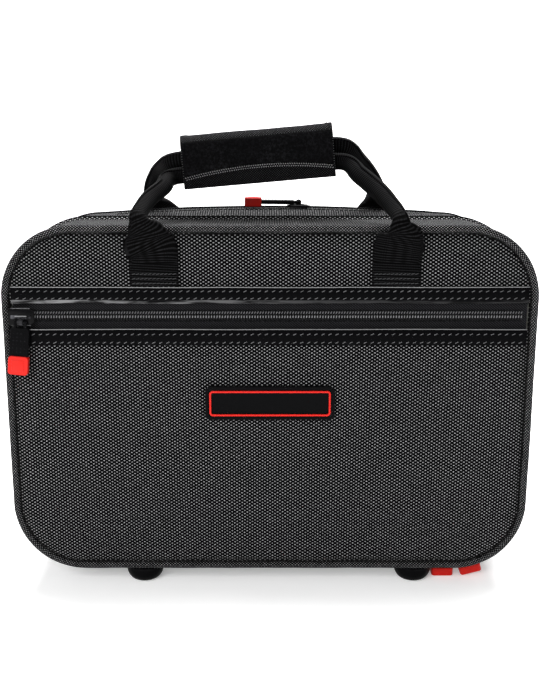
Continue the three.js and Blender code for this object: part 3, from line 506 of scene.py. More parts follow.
def weave_nodes(tree, given):
    """Staggered thread crossings, each a little lighter or darker than the next."""
    drift = cloud(tree, given["Vector"], 90.0, 2.0, output="Color")
    drift = vector_sum(tree, "SUBTRACT", {0: drift, 1: (0.5, 0.5, 0.5)})
    small = vector_sum(tree, "SCALE", {0: drift, "Scale": 0.9 * MM})
    place = parts_of(tree, vector_sum(tree, "ADD", {0: given["Vector"], 1: small}))
    across = sum_up(tree, "DIVIDE", place[0], given["Width"])
    up = sum_up(tree, "DIVIDE", place[1], given["Height"])
    crossing = sum_up(tree, "MULTIPLY", bands(tree, across), bands(tree, up))
    mask = ramp(tree, crossing, given["Low"], given["Full"])
    cell = [sum_up(tree, "ROUND", sum_up(tree, "MULTIPLY", way, 2)) for way in (across, up)]
    cell = add_node(tree, "ShaderNodeCombineXYZ", {0: cell[0], 1: cell[1]}).outputs[0]
    chance = add_node(tree, "ShaderNodeTexWhiteNoise", {"Vector": cell}, noise_dimensions="2D")
    patch = cloud(tree, given["Vector"], 26.0, 4.0)
    uneven = sum_up(tree, "MULTIPLY_ADD", patch, 0.4, sum_up(tree, "ADD", chance.outputs["Value"], 0.3))
    level = sum_up(tree, "MULTIPLY_ADD", sum_up(tree, "SUBTRACT", uneven, 1.0), given["Unevenness"], 1.0)
    lit = vector_sum(tree, "SCALE", {0: given["Thread"], "Scale": level})
    return {"Color": mix_colours(tree, mask, given["Gap"], lit), "Height": mask, "Mask": mask}


def rib_nodes(tree, given):
    """Slanted ribs that run across webbing or tape, with fine threads along them."""
    place = parts_of(tree, given["Vector"])
    slanted = sum_up(tree, "MULTIPLY_ADD", place[0], given["Slant"], place[1])
    rib = sum_up(tree, "MULTIPLY_ADD", bands(tree, sum_up(tree, "DIVIDE", slanted, given["Pitch"])), 0.5, 0.5)
    threads = sum_up(tree, "DIVIDE", place[0], given["Thread pitch"])
    strand = sum_up(tree, "MULTIPLY_ADD", bands(tree, threads), 0.5, 0.5)
    fuzz = sum_up(tree, "ADD", cloud(tree, given["Vector"], 900.0, 3.0), 0.5)
    height = sum_up(tree, "MULTIPLY", rib, sum_up(tree, "MULTIPLY_ADD", strand, 0.35, 0.65))
    lit = sum_up(tree, "MULTIPLY", ramp(tree, height, 0.4, 0.95), fuzz)
    return {"Color": mix_colours(tree, lit, given["Gap"], given["Thread"]), "Height": height}


def wear_and_glint_nodes(tree, given):
    """Edges made lighter in uneven patches: scuffing, and painted glints where the lighter level is high."""
    edge = ramp(tree, add_node(tree, "ShaderNodeNewGeometry").outputs["Pointiness"], 0.53, 0.64)
    broken = ramp(tree, cloud(tree, given["Vector"], 240.0, 5.0), 0.35, 0.65)
    mask = sum_up(tree, "MULTIPLY", sum_up(tree, "MULTIPLY", edge, broken), given["Amount"], clamp=True)
    return {"Color": mix_colours(tree, mask, given["Base"], given["Worn"])}


def grain_nodes(tree, given):
    """Fine moulded or pressed grain, with a softer unevenness under it."""
    fine = add_node(tree, "ShaderNodeTexVoronoi", {"Vector": given["Vector"], "Scale": given["Scale"]},
                    feature="SMOOTH_F1").outputs["Distance"]
    broad = cloud(tree, given["Vector"], 60.0, 5.0)
    spread = sum_up(tree, "MULTIPLY", sum_up(tree, "SUBTRACT", broad, 0.5), given["Spread"])
    return {"Height": sum_up(tree, "MULTIPLY_ADD", fine, 0.6, broad),
            "Roughness": sum_up(tree, "ADD", given["Roughness"], spread)}


def dust_nodes(tree, given):
    """A thin film of dust on what faces up."""
    up = parts_of(tree, add_node(tree, "ShaderNodeNewGeometry").outputs["Normal"])[2]
    patch = ramp(tree, cloud(tree, given["Vector"], 14.0, 6.0), 0.35, 0.7)
    facing = ramp(tree, up, 0.1, 0.9, 0.25, 1.0)
    mask = sum_up(tree, "MULTIPLY", sum_up(tree, "MULTIPLY", patch, facing), given["Amount"], clamp=True)
    return {"Color": mix_colours(tree, mask, given["Base"], given["Dust"])}


BLACK, WHITE = (0, 0, 0, 1), (1, 1, 1, 1)

# Each shared group by name: what fills it, its inputs besides the place, and its outputs
GROUPS = {
    "Weave": (weave_nodes, {"Width": 0.0036, "Height": 0.0024, "Low": -0.1, "Full": 0.9, "Thread": WHITE,
                            "Gap": BLACK, "Unevenness": 0.5}, ("Color", "Height", "Mask")),
    "Ribs": (rib_nodes, {"Pitch": 0.002, "Slant": 0.35, "Thread pitch": 0.0009, "Thread": WHITE,
                         "Gap": BLACK}, ("Color", "Height")),
    "Edge wear": (wear_and_glint_nodes, {"Base": BLACK, "Worn": WHITE, "Amount": 0.5}, ("Color",)),
    "Grain": (grain_nodes, {"Scale": 900.0, "Roughness": 0.5, "Spread": 0.12}, ("Height", "Roughness")),
    "Dust": (dust_nodes, {"Base": BLACK, "Dust": (0.3, 0.29, 0.28, 1), "Amount": 0.06}, ("Color",)),
}


def make_group(name):
    """A shared node group with its sockets, filled by its function."""
    fill_group, inputs, outputs = GROUPS[name]
    tree = bpy.data.node_groups.new(name, "ShaderNodeTree")
    tree.interface.new_socket("Vector", in_out="INPUT", socket_type="NodeSocketVector")
    for label, value in inputs.items():
        kind = "Float" if isinstance(value, float) else "Color"
        socket = tree.interface.new_socket(label, in_out="INPUT", socket_type=f"NodeSocket{kind}")
        socket.default_value = value
    for label in outputs:
        kind = "Color" if label == "Color" else "Float"
        tree.interface.new_socket(label, in_out="OUTPUT", socket_type=f"NodeSocket{kind}")
    given = tree.nodes.new("NodeGroupInput").outputs
    result = tree.nodes.new("NodeGroupOutput").inputs
    for label, value in fill_group(tree, given).items():
        tree.links.new(value, result[label])
    return tree


def use_group(tree, name, place, **inputs):
    """Places a shared group in a material with its own values."""
    made = tree.nodes.new("ShaderNodeGroup")
    made.node_tree = bpy.data.node_groups.get(name) or make_group(name)
    tree.links.new(place, made.inputs["Vector"])
    for key, value in inputs.items():
        fill(tree, made.inputs[key.replace("_", " ")], value)
    return made.outputs


def blank_material(name, roughness, specular=0.5, metallic=0.0, **sockets):
    """A material with its own shader, whose plain values sit on the shader's sockets."""
    material = bpy.data.materials.new(name)
    material.use_nodes = True
    tree = material.node_tree
    shader = tree.nodes["Principled BSDF"].inputs
    shader["Roughness"].default_value = roughness
    shader["Specular IOR Level"].default_value = specular
    shader["Metallic"].default_value = metallic
    for key, value in sockets.items():
        shader[key.replace("_", " ")].default_value = value
    return material, tree, shader


def coat(tree, shader, colour, height, relief, strength):
    """Feeds a colour, and a height in millimetres of relief, to the shader."""
    tree.links.new(colour, shader["Base Color"])
    inputs = {"Height": height, "Distance": relief * MM, "Strength": strength}
    tree.links.new(add_node(tree, "ShaderNodeBump", inputs).outputs[0], shader["Normal"])


def rgba(colour, level=1.0):
    return (colour[0] * level, colour[1] * level, colour[2] * level, 1.0)


def object_place(tree):
    return add_node(tree, "ShaderNodeTexCoord").outputs["Object"]


def cloth_place(tree):
    return add_node(tree, "ShaderNodeUVMap", uv_map="cloth").outputs[0]


def dusty(tree, colour, amount):
    """A colour under a thin film of dust."""
    return use_group(tree, "Dust", object_place(tree), Base=colour, Amount=amount)["Color"]


def woven(name, width, height, thread, gap, unevenness, relief=0.35):
    """Woven nylon whose crossings follow the piece's own UV map."""
    material, tree, shader = blank_material(name, 0.72, 0.01, Sheen_Weight=0.05, Sheen_Roughness=0.25)
    weave = use_group(tree, "Weave", cloth_place(tree), Width=width, Height=height, Thread=thread, Gap=gap,
                      Unevenness=unevenness, Low=0.26, Full=1.0)
    tree.links.new(ramp(tree, weave["Mask"], 0, 1, 0.9, 0.6), shader["Roughness"])
    coat(tree, shader, dusty(tree, weave["Color"], 0.002), weave["Height"], relief, 0.8)
    return material


def ribbed(name, pitch, slant, thread, gap, roughness, relief):
    """Webbing or tape with slanted ribs that follow the piece's own UV map."""
    material, tree, shader = blank_material(name, roughness, 0.02)
    ribs = use_group(tree, "Ribs", cloth_place(tree), Pitch=pitch, Slant=slant, Thread_pitch=0.0011,
                     Thread=thread, Gap=gap)
    coat(tree, shader, dusty(tree, ribs["Color"], 0.006), ribs["Height"], relief, 0.8)
    return material


def grained(name, colour, roughness, scale, relief, wear, worn, dust, specular=0.5, metallic=0.0):
    """Moulded, pressed or coated stock: fine grain, lighter edges and a little dust; the lighter edges are
    scuffs, and painted glints where their level is high.
    """
    material, tree, shader = blank_material(name, roughness, specular, metallic)
    place = object_place(tree)
    grain = use_group(tree, "Grain", place, Scale=scale, Roughness=roughness)
    lightened = use_group(tree, "Edge wear", place, Base=rgba(colour), Worn=rgba(colour, worn), Amount=wear)
    tree.links.new(grain["Roughness"], shader["Roughness"])
    coat(tree, shader, dusty(tree, lightened["Color"], dust), grain["Height"], relief, 0.6)
    return material


def shining(name, dark, light):
    """Glossy vinyl with painted highlights: broken runs of light colour, most of all towards the left."""
    material, tree, shader = blank_material(name, 0.25, 0.05)
    place = object_place(tree)
    stretched = add_node(tree, "ShaderNodeMapping", {"Vector": place, "Scale": (28.0, 1.0, 260.0)})
    runs = cloud(tree, stretched.outputs[0], 1.0, 5.0, 0.6)
    leftwards = ramp(tree, parts_of(tree, place)[0], -0.15, 0.06, 1.0, 0.12)
    share = sum_up(tree, "MULTIPLY", ramp(tree, runs, 0.42, 0.62), leftwards)
    coat(tree, shader, mix_colours(tree, share, rgba(dark), rgba(light)), runs, 0.2, 0.5)
    return material


def pile(name, colour, light, scale, relief):
    """Plush or loop pile: a deep fine nap with lighter tips."""
    material, tree, shader = blank_material(name, 0.95, 0.02, Sheen_Weight=0.01, Sheen_Roughness=0.4)
    place = object_place(tree)
    nap = cloud(tree, place, scale, 8.0, 0.75)
    lightened = ramp(tree, cloud(tree, place, 40.0, 4.0), 0.3, 0.75, 0.4, 1.0)
    tips = sum_up(tree, "MULTIPLY", ramp(tree, nap, 0.45, 0.72), lightened)
    coat(tree, shader, mix_colours(tree, tips, rgba(colour), rgba(colour, light)), nap, relief, 0.9)
    return material


def foamed(name, colour):
    """Cut foam with open cells."""
    material, tree, shader = blank_material(name, 0.95)
    place = object_place(tree)
    cells = add_node(tree, "ShaderNodeTexVoronoi", {"Vector": place, "Scale": 650.0}).outputs["Distance"]
    shade = sum_up(tree, "MULTIPLY", ramp(tree, cells, 0.1, 0.6),
                   ramp(tree, cloud(tree, place, 18.0, 5.0), 0.2, 0.8, 0.8, 1.0))
    coat(tree, shader, mix_colours(tree, shade, rgba(colour, 0.7), rgba(colour)), cells, 0.3, 0.7)
    return material


def threaded(name, colour):
    """Sewing thread with its twist."""
    material, tree, shader = blank_material(name, 0.6, 0.05)
    inputs = {"Vector": object_place(tree), "Scale": 1500.0, "Distortion": 2.0}
    twist = add_node(tree, "ShaderNodeTexWave", inputs, bands_direction="DIAGONAL").outputs["Fac"]
    coat(tree, shader, mix_colours(tree, twist, rgba(colour, 0.6), rgba(colour, 1.3)), twist, 0.08, 0.6)
    return material


# Each cloth: its name, its weave's width and height as shares, its thread's level and its unevenness
CLOTHS = {
    "cloth": ("Woven nylon", 1, 1, 1, 0.4),
    "piping": ("Piping cloth", 0.6, 0.8, 1, 0.7),
    "dark_piping": ("Dark piping cloth", 0.6, 0.8, 0.12, 0.7),
    "grip_cloth": ("Grip cloth", 0.5, 0.7, 0.35, 0.6),
    "flap_cloth": ("Flap cloth", 0.5, 0.7, 0.13, 0.6),
}

# Each grained finish: its name, colour, roughness, grain scale, relief, share and level of its lighter edges,
# dust, specular level and metallic share
GRAINED = {
    "vinyl": ("Black vinyl", "vinyl", 0.2, 700.0, 0.05, 0.3, 6.0, 0.001, 0.012),
    # The next two finishes are painted highlights: light colours for the strips and bars that stand for
    # highlights.
    "slider_edge": ("Rubbed slider edge", "slider_edge", 0.25, 900.0, 0.03, 0.3, 1.5, 0.001),
    "vinyl_edge": ("Rubbed vinyl edge", "vinyl_edge", 0.3, 700.0, 0.05, 0.3, 1.5, 0.001),
    "coil": ("Nylon coil", "zip_coil", 0.4, 1500.0, 0.02, 0.4, 2.5, 0.002, 0.05),
    # The slider's and the black rubber's high lighter-edge levels paint glints of light on their edges, besides
    # scuffs.
    "slider": ("Coated slider", "slider", 0.14, 1200.0, 0.02, 0.9, 36.0, 0.001, 0.05),
    "black_rubber": ("Black rubber", "black_rubber", 0.35, 1100.0, 0.05, 0.6, 14.0, 0.001, 0.02),
    "red_rubber": ("Red rubber", "red_rubber", 0.42, 1100.0, 0.04, 0.25, 1.15, 0.004, 0.15),
    "steel": ("Screw steel", "steel", 0.32, 1500.0, 0.01, 0.5, 1.6, 0.02, 0.5, 1.0),
}
LOOP_PILE_COLOUR = (0.002, 0.002, 0.0022)


def build_materials():
    """Every finish of the case, by name."""
    size, colour = sizes(), colours()
    gap = rgba(colour.cloth_gap)
    bright_webbing = rgba(colour.webbing, 2.0)
    made = {}
    for key, (name, across, up, level, unevenness) in CLOTHS.items():
        thread = rgba(colour.cloth_thread, level)
        made[key] = woven(name, size.weave_width * across, size.weave_height * up, thread, gap, unevenness)
    for key, (name, shade, *values) in GRAINED.items():
        made[key] = grained(name, getattr(colour, shade), *values)
    for key in ("light_thread", "dark_thread", "webbing_thread", "bright_thread"):
        made[key] = threaded(key.capitalize().replace("_", " "), getattr(colour, key))
    made["webbing"] = ribbed("Black webbing", size.rib_pitch, 0.05, bright_webbing, rgba(colour.webbing, 0.02),
                             0.7, 0.3)
    made["tape"] = ribbed("Zip tape", 1.6 * MM, 0.8, rgba(colour.zip_tape, 3.0), rgba(colour.zip_tape, 0.3),
                          0.8, 0.12)
    made["lining"] = woven("Lining cloth", 1 * MM, 1 * MM, bright_webbing, gap, 0.3, relief=0.1)
    made["vinyl_shine"] = shining("Shining vinyl", colour.vinyl, colour.vinyl_edge)
    made["foam"] = foamed("Stiff foam", colour.foam)
    made["plush"] = pile("Plush lining", colour.plush, 3.0, 900.0, 0.5)
    made["loop_pile"] = pile("Loop pile", LOOP_PILE_COLOUR, 8.0, 700.0, 0.9)
    return made


FINISHES = {}


def finish(name):
    """A finish by its plain name, made with the others when it is first asked for."""
    if not FINISHES:
        FINISHES.update(build_materials())
    return FINISHES[name]


# Shared makers


def outward(case, place):
    """The direction out of the outline at a place."""
    x = math.copysign(max(0.0, abs(place.x) - case.half_flat), place.x)
    rise = place.z - case.middle_z
    z = math.copysign(max(0.0, abs(rise) - case.half_rise), rise)
    if x == 0 and z == 0:
        return Vector((0, 0, 0))
    return Vector((x, 0, z)).normalized()


def depth_inside(case, place):
    """Distance from a place in to the outline's outermost edge."""
    x = abs(place.x) - case.half_flat
    z = abs(place.z - case.middle_z) - case.half_rise
    if x > 0 and z > 0:
        return case.radius - math.hypot(x, z)
    return case.radius - max(x, z)


def smooth_share(value, low, high):
    share = min(1.0, max(0.0, (value - low) / (high - low)))
    return share * share * (3 - 2 * share)


def wave_out(bm, case, height, pitch, seed, hold):
    """Waves a wall of the case in and out."""
    for vert in bm.verts:
        ripple = noise.noise(seeded(vert.co, pitch, seed))
        vert.co += outward(case, vert.co) * height * hold(vert.co) * ripple


def point_faces(bm, direction_at):
    """Turns all faces of a sheet so that they point the given way."""
    bmesh.ops.recalc_face_normals(bm, faces=bm.faces)
    facing = (face.normal.dot(direction_at(face.calc_center_median())) * face.calc_area() for face in bm.faces)
    if sum(facing) < 0:
        bmesh.ops.reverse_faces(bm, faces=bm.faces)


def add_wall(piece, thickness):
    """Gives a sheet its thickness behind its outer face."""
    wall = piece.modifiers.new("Thickness", "SOLIDIFY")
    wall.thickness = thickness
    wall.offset = -1
    wall.use_even_offset = False
    return piece


def ring(bm, centre, radius, segments, across):
    """A circle of edges round a centre, square to an axis, with its vertices in order."""
    made = bmesh.ops.create_circle(bm, cap_ends=False, segments=segments, radius=radius)["verts"]
    turn_to = AXIS_Z.rotation_difference(across).to_matrix()
    bmesh.ops.rotate(bm, verts=made, cent=(0, 0, 0), matrix=turn_to)
    bmesh.ops.translate(bm, verts=made, vec=centre)
    return made


def ring_edges(verts):
    """The edges that join some vertices."""
    chosen = set(verts)
    near = {edge for vert in verts for edge in vert.link_edges}
    return [edge for edge in near if set(edge.verts) <= chosen]


def lathe(bm, centre, profile, segments):
    """Draws rings of (radius, height) about a vertical axis, and returns its first and last edges."""
    radius, height = profile[0]
    first = edges = ring_edges(ring(bm, Vector(centre) + AXIS_Z * height, radius, segments, AXIS_Z))
    space = Matrix.Translation((-centre[0], -centre[1], 0))
    for next_radius, next_height in profile[1:]:
        result = bmesh.ops.extrude_edge_only(bm, edges=edges)
        verts, edges = verts_of(result), edges_of(result)
        share = next_radius / radius
        bmesh.ops.scale(bm, verts=verts, vec=(share, share, 1), space=space)
        bmesh.ops.translate(bm, verts=verts, vec=(0, 0, next_height - height))
        radius, height = next_radius, next_height
    return first, edges


def quarter_turn(start, end, steps):
    """Points of a quarter ellipse from start to end, each (radius, height), without the start."""
    width, height = end[0] - start[0], end[1] - start[1]
    angles = [step / steps * math.pi / 2 for step in range(1, steps + 1)]
    return [(start[0] + width * math.sin(angle), start[1] + height * (1 - math.cos(angle))) for angle in angles]


def follow(bm, rings_of_points, cap=True):
    """Extrudes a closed ring of vertices through rings of places, all with the same number of points."""
    rings = iter(rings_of_points)
    verts = [bm.verts.new(point) for point in next(rings)]
    edges = [bm.edges.new((verts[i], verts[(i + 1) % len(verts)])) for i in range(len(verts))]
    first = list(edges)
    for points in rings:
        result = bmesh.ops.extrude_edge_only(bm, edges=edges)
        fresh = set(verts_of(result))
        verts = [next(edge.other_vert(vert) for edge in vert.link_edges if edge.other_vert(vert) in fresh)
                 for vert in verts]
        for vert, point in zip(verts, points):
            vert.co = point
        edges = [edge for edge in edges_of(result) if set(edge.verts) <= fresh]
    if cap:
        bmesh.ops.holes_fill(bm, edges=first, sides=0)
        bmesh.ops.holes_fill(bm, edges=edges, sides=0)


def repeat(bm, template, places):
    """Adds a copy of a small mesh at each matrix."""
    for place in places:
        copy = template.copy()
        copy.transform(place)
        bm.from_mesh(copy)
        bpy.data.meshes.remove(copy)


def small_mesh(build):
    """Makes a small mesh from a function that fills a bmesh."""
    bm = bmesh.new()
    build(bm)
    mesh = bpy.data.meshes.new("template")
    bm.to_mesh(mesh)
    bm.free()
    return mesh


def capsule(length, radius, segments=6):
    """A thread or coil turn along X, with rounded ends."""
    def build(bm):
        bmesh.ops.create_cone(bm, cap_ends=True, segments=segments, radius1=radius, radius2=radius,
                              depth=length - radius)
        ends = [face for face in bm.faces if len(face.verts) == segments]
        bmesh.ops.inset_region(bm, faces=ends, thickness=radius * 0.45, depth=radius * 0.5)
        bmesh.ops.rotate(bm, verts=bm.verts, cent=(0, 0, 0), matrix=Matrix.Rotation(math.pi / 2, 3, "Y"))
    return small_mesh(build)


def placed(origin, along, out):
    """A matrix with X along a direction and Z out of a surface."""
    along = Vector(along).normalized()
    out = (Vector(out) - along * Vector(out).dot(along)).normalized()
    matrix = Matrix((along, out.cross(along), out)).transposed().to_4x4()
    matrix.translation = origin
    return matrix


def scatter(template, places, name, body, slot_name, finish_name, *node_names):
    """One piece made of a copy of a small mesh at each matrix."""
    bm = bmesh.new()
    repeat(bm, template, places)
    bpy.data.meshes.remove(template)
    return dress(bm, name, body, slot_name, finish_name, *node_names, recalc=False)


def stitch_rows(name, body, slot_name, finish_name, places):
    """Short threads, each at (origin, along, out), half sunk into what they hold."""
    thread = capsule(sizes().stitch_length, sizes().stitch_radius)
    return scatter(thread, [placed(*place) for place in places], name, body, slot_name, finish_name)


def even_places(low, high, pitch):
    """Evenly spaced values between two ends, about a pitch apart."""
    count = max(1, round((high - low) / pitch))
    return [low + (high - low) * (step + 0.5) / count for step in range(count)]


def outline_place(case, distance, inset, y):
    """The place, the way along and the way out at a distance round the outline."""
    total = case.length()
    distance %= total
    quarter = case.radius * math.pi / 2
    side = 2 * case.half_rise
    right, left = case.half_flat, -case.half_flat
    corners = ((right, case.side_low), (right, case.side_high), (left, case.side_high), (left, case.side_low))
    for number in range(5):
        x, z = corners[number % 4]
        run = case.half_flat if number == 0 else 2 * case.half_flat if number % 2 == 0 else side
        back = max(0.0, run - distance)
        turned = max(0.0, distance - run)
        if turned <= quarter:
            break
        distance -= run + quarter
    angle = (number - 1) * math.pi / 2 + turned / case.radius
    out = Vector((math.cos(angle), 0, math.sin(angle)))
    along = Vector((-out.z, 0, out.x))
    return Vector((x, y, z)) + out * (case.radius - inset) - along * back, along, out


def round_stitches(case, inset, y, start, end, pitch, out_share=0.0, out_axis=(0, -1, 0)):
    """Places for stitches round the outline between two distances."""
    places = []
    for distance in even_places(start, end, pitch):
        place, along, out = outline_place(case, distance, inset, y)
        if out.z > 0.999:
            place.z += case.crown(place.x, y)
        places.append((place, along, Vector(out_axis) * (1 - out_share) + out * out_share))
    return places


SOFT_RIPPLES_PER_METRE = 30


def soft_copy(node, offset, segments, ripple):
    """A merged, rounded and gently uneven copy of a plain soft solid."""
    bm = bmesh.new()
    bm.from_mesh(frame["nodes"][node].data)
    bmesh.ops.remove_doubles(bm, verts=bm.verts, dist=MERGE)
    bmesh.ops.dissolve_limit(bm, angle_limit=math.radians(2), verts=bm.verts, edges=bm.edges)
    bevel_sharp(bm, offset, segments)
    for vert in bm.verts:
        vert.co += vert.normal * ripple * noise.noise(vert.co * SOFT_RIPPLES_PER_METRE)
    flat_uv(bm)
    return bm


class CaseStep:
    """One step of the dressing, which is given the outline and the sizes."""

    def execute(self, context):
        self.build(Outline(), sizes())
        return {"FINISHED"}


# Cloth


PANEL_SLICE = 5 * MM
EDGE_REACH = 4.5 * MM
CALM_REACH = 14 * MM
RIPPLE_PITCH = 46 * MM
LIP_START, LIP_START_REACH = 22 * MM, 16 * MM
LIP_END, LIP_END_REACH = 14 * MM, 10 * MM
LIP_FLAT = 0.9 * MM
CORD_SEGMENTS = 14
PIPING_RIPPLE, PIPING_RIPPLE_PITCH = 0.18, 16 * MM
SIDE_RIPPLE_PITCH = 38 * MM


def make_face(case, name, y, inset, body, node, seed, low_z=None, high_z=None):
    """A woven panel that fills the outline, front or back, with soft waves and a drawn-in edge."""
    size = sizes()
    bm = bmesh.new()
    outline_face(bm, case, inset, y)
    if low_z is not None:
        cut(bm, (0, 0, low_z), (0, 0, -1), clear=True)
    if high_z is not None:
        cut(bm, (0, 0, high_z), AXIS_Z, clear=True)
    slice_up(bm, PANEL_SLICE)
    inwards = 1 if y < 0 else -1
    for vert in bm.verts:
        edge = smooth_share(depth_inside(case, vert.co), inset, inset + EDGE_REACH)
        calm = edge
        if low_z is not None:
            calm *= smooth_share(vert.co.z, low_z, low_z + CALM_REACH)
        if high_z is not None:
            calm *= smooth_share(-vert.co.z, -high_z, -high_z + CALM_REACH)
        place = vert.co / RIPPLE_PITCH + Vector((seed, 0, 0))
        ripple = noise.noise(place) + 0.5 * noise.noise(place * 2.7)
        vert.co.y += inwards * (size.piping_groove * (1 - edge) - size.pucker * calm * ripple)
    if case.back_y - 1 * MM < y:
        case.lift(bm)
    point_faces(bm, lambda place: Vector((0, -inwards, 0)))
    flat_uv(bm)
    add_wall(dress(bm, name, body, "woven_nylon", "cloth", node, recalc=False), size.cloth_thickness)


def lip_share(case, distance):
    """How far the cloth lips cover the zip: not under the case, nor round the corner with the sliders."""
    start = case.along(case.half_width, case.side_low + LIP_START)
    end = case.along(-case.half_flat + LIP_END, case.bottom)
    gone = smooth_share(distance, end, end + LIP_END_REACH)
    return smooth_share(distance, start, start + LIP_START_REACH) * (1 - gone)


def draw_lips(bm, case, edge_y, lip_from, lip_to, towards):
    """Pulls the cloth's zip edge back where the lips don't cover the zip."""
    for vert in bm.verts:
        beyond = (vert.co.y - lip_from) * towards
        if beyond > 0:
            share = lip_share(case, case.along(vert.co.x, vert.co.z))
            reach = beyond / abs(lip_to - lip_from)
            full = lip_from + towards * reach * abs(lip_to - lip_from)
            short = lip_from + towards * reach * abs(edge_y - lip_from)
            flat = outward(case, vert.co) * (1 - share) * reach * LIP_FLAT
            vert.co.y = short + (full - short) * share
            vert.co -= flat


def make_side_cloth(case, name, body, node, rows, edge_y, lip_from, lip_to, towards, window=None):
    """A side band swept round the case, with lips that nearly meet over the zip."""
    size = sizes()
    bm = bmesh.new()
    round_loop(bm, case, polyline(bm, section_points(case, 0, rows)))
    first_y, last_y = rows[0][1], rows[-1][1]
    wave_out(bm, case, size.pucker * 1.3, SIDE_RIPPLE_PITCH, 4.0 + towards,
             lambda place: smooth_share(min(abs(place.y - first_y), abs(place.y - last_y)), 2 * MM, 12 * MM))
    if window:
        low, high = window
        for x in (low.x, high.x):
            cut(bm, (x, 0, 0), AXIS_X)
        middles = [(face, face.calc_center_median()) for face in bm.faces]
        gone = [face for face, place in middles
                if place.z > low.z and low.x < place.x < high.x and low.y < place.y < high.y]
        bmesh.ops.delete(bm, geom=gone, context="FACES")
    draw_lips(bm, case, edge_y, lip_from, lip_to, towards)
    case.lift(bm)
    point_faces(bm, lambda place: outward(case, place))
    outline_uv(bm, case)
    piece = dress(bm, name, body, "woven_nylon", "cloth", node, recalc=False)
    add_wall(piece, size.cloth_thickness * 0.75)


def make_piping(case, name, body, node, y, groove_y, side, cloth):
    """Cloth-bound piping with its row of stitches in the groove beside it, and a row of dark capsules there as
    painted shade in the groove.
    """
    size = sizes()
    radius = size.piping_radius
    bm = bmesh.new()
    round_loop(bm, case, ring_edges(ring(bm, (0, y, case.bottom + radius), radius, CORD_SEGMENTS, AXIS_X)))

    def round_cord(*places):
        """How far round the cord a place lies, on the same turn as the middle of its face."""
        angle, facing = [math.atan2(place.y - y, radius - depth_inside(case, place)) for place in places]
        return (angle + 2 * math.pi * round((facing - angle) / (2 * math.pi))) * radius

    outline_uv(bm, case, round_cord)
    for vert in bm.verts:
        vert.co += outward(case, vert.co) * PIPING_RIPPLE * MM * noise.noise(vert.co / PIPING_RIPPLE_PITCH)
    case.lift(bm)
    dress(bm, name, body, "piping", cloth, node)
    total = case.length()
    places = round_stitches(case, 2 * radius + 0.5 * MM, groove_y, 0, total, size.stitch_pitch, 0.15,
                            (0, side, 0))
    stitch_rows(f"{name}_stitches", body, "piping", "dark_thread", places)
    # Painted shade: a row of dark capsules in the groove beside the piping.
    groove_shade_places = round_stitches(case, 2 * radius + 1.1 * MM, y + side * 0.2 * MM, 0, total, size.stitch_pitch)
    cord = capsule(size.stitch_pitch * 0.85, 0.8 * MM)
    scatter(cord, [placed(*place) for place in groove_shade_places], f"{name}_seam", body, "piping", "dark_thread")


class CASE_OT_front_cloth(CaseStep, Operator):
    """Makes the two woven panels of the front, above and below the pocket zip"""

    bl_idname = "case.front_cloth"
    bl_label = "Front cloth"

    def build(self, case, size):
        inset = case.half_width - front_high.x - size.panel_reach
        make_face(case, "front_upper_cloth", case.front_y, inset, "lid", "front_upper_panel", seed=3.0,
                  low_z=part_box("front_upper_panel")[0].z)
        make_face(case, "pocket_front_cloth", case.front_y, inset, "lid", "pocket_front_panel", seed=7.0,
                  high_z=front_high.z)


class CASE_OT_back_cloth(CaseStep, Operator):
    """Makes the woven back panel, which is the front of the rear pocket"""

    bl_idname = "case.back_cloth"
    bl_label = "Back cloth"

    def build(self, case, size):
        inset = case.half_width - back_high.x - size.panel_reach
        make_face(case, "back_cloth", case.back_y, inset, "case_body", "back_panel", seed=11.0)


PIPING_OVERLAP = 0.8 * MM
LIP_FROM = 8 * MM
# How a lip rises over the zip, in millimetres: its inset, and its distance from the seam
LIP_ROWS = ((0.75, 5), (-0.3, 3.4), (-0.9, 2.3), (-0.7, 1.4))


class CASE_OT_side_cloth(CaseStep, Operator):
    """Makes the side cloth of both halves, with lips over the zip and the rear pocket's window"""

    bl_idname = "case.side_cloth"
    bl_label = "Side cloth"

    def build(self, case, size):
        flat = size.band_inset
        tucked = flat + 0.5 * MM
        painted_groove_shade = case.seam_y

        def lip(side):
            rise = [(inset * MM, painted_groove_shade + side * away * MM) for inset, away in LIP_ROWS]
            return rise + [(0.2 * MM, painted_groove_shade + side * size.lip_reach)]

        front = case.front_y + 2 * size.piping_radius - PIPING_OVERLAP
        steps = 9
        rows = [(tucked, front), (flat, front + 1.5 * MM)]
        rows += [(flat, front + (painted_groove_shade - LIP_FROM - front) * step / steps) for step in range(1, steps + 1)]
        make_side_cloth(case, "lid_side_cloth", "lid", "lid_side_band", rows + lip(-1), painted_groove_shade - 7.4 * MM,
                        painted_groove_shade - LIP_FROM, painted_groove_shade - size.lip_reach, 1)
        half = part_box("rear_slider")[1].y - case.rear_zip_y + 0.7 * MM
        low = Vector((rear_chain_low.x, case.rear_zip_y - half, case.top - 5 * MM))
        high = Vector((rear_chain_high.x, case.rear_zip_y + half, case.top))
        back = case.back_y - 2 * size.piping_radius + PIPING_OVERLAP
        between = low.y - painted_groove_shade - LIP_FROM
        steps = 7
        rows = lip(1)[::-1] + [(flat, painted_groove_shade + LIP_FROM + between * step / steps) for step in range(steps)]
        rows += [(flat, low.y), (flat, low.y + half), (flat, high.y), (flat, back - 1 * MM), (tucked, back)]
        make_side_cloth(case, "body_side_cloth", "case_body", "body_side_band", rows, painted_groove_shade + 7.7 * MM,
                        painted_groove_shade + LIP_FROM, painted_groove_shade + size.lip_reach, -1, (low, high))


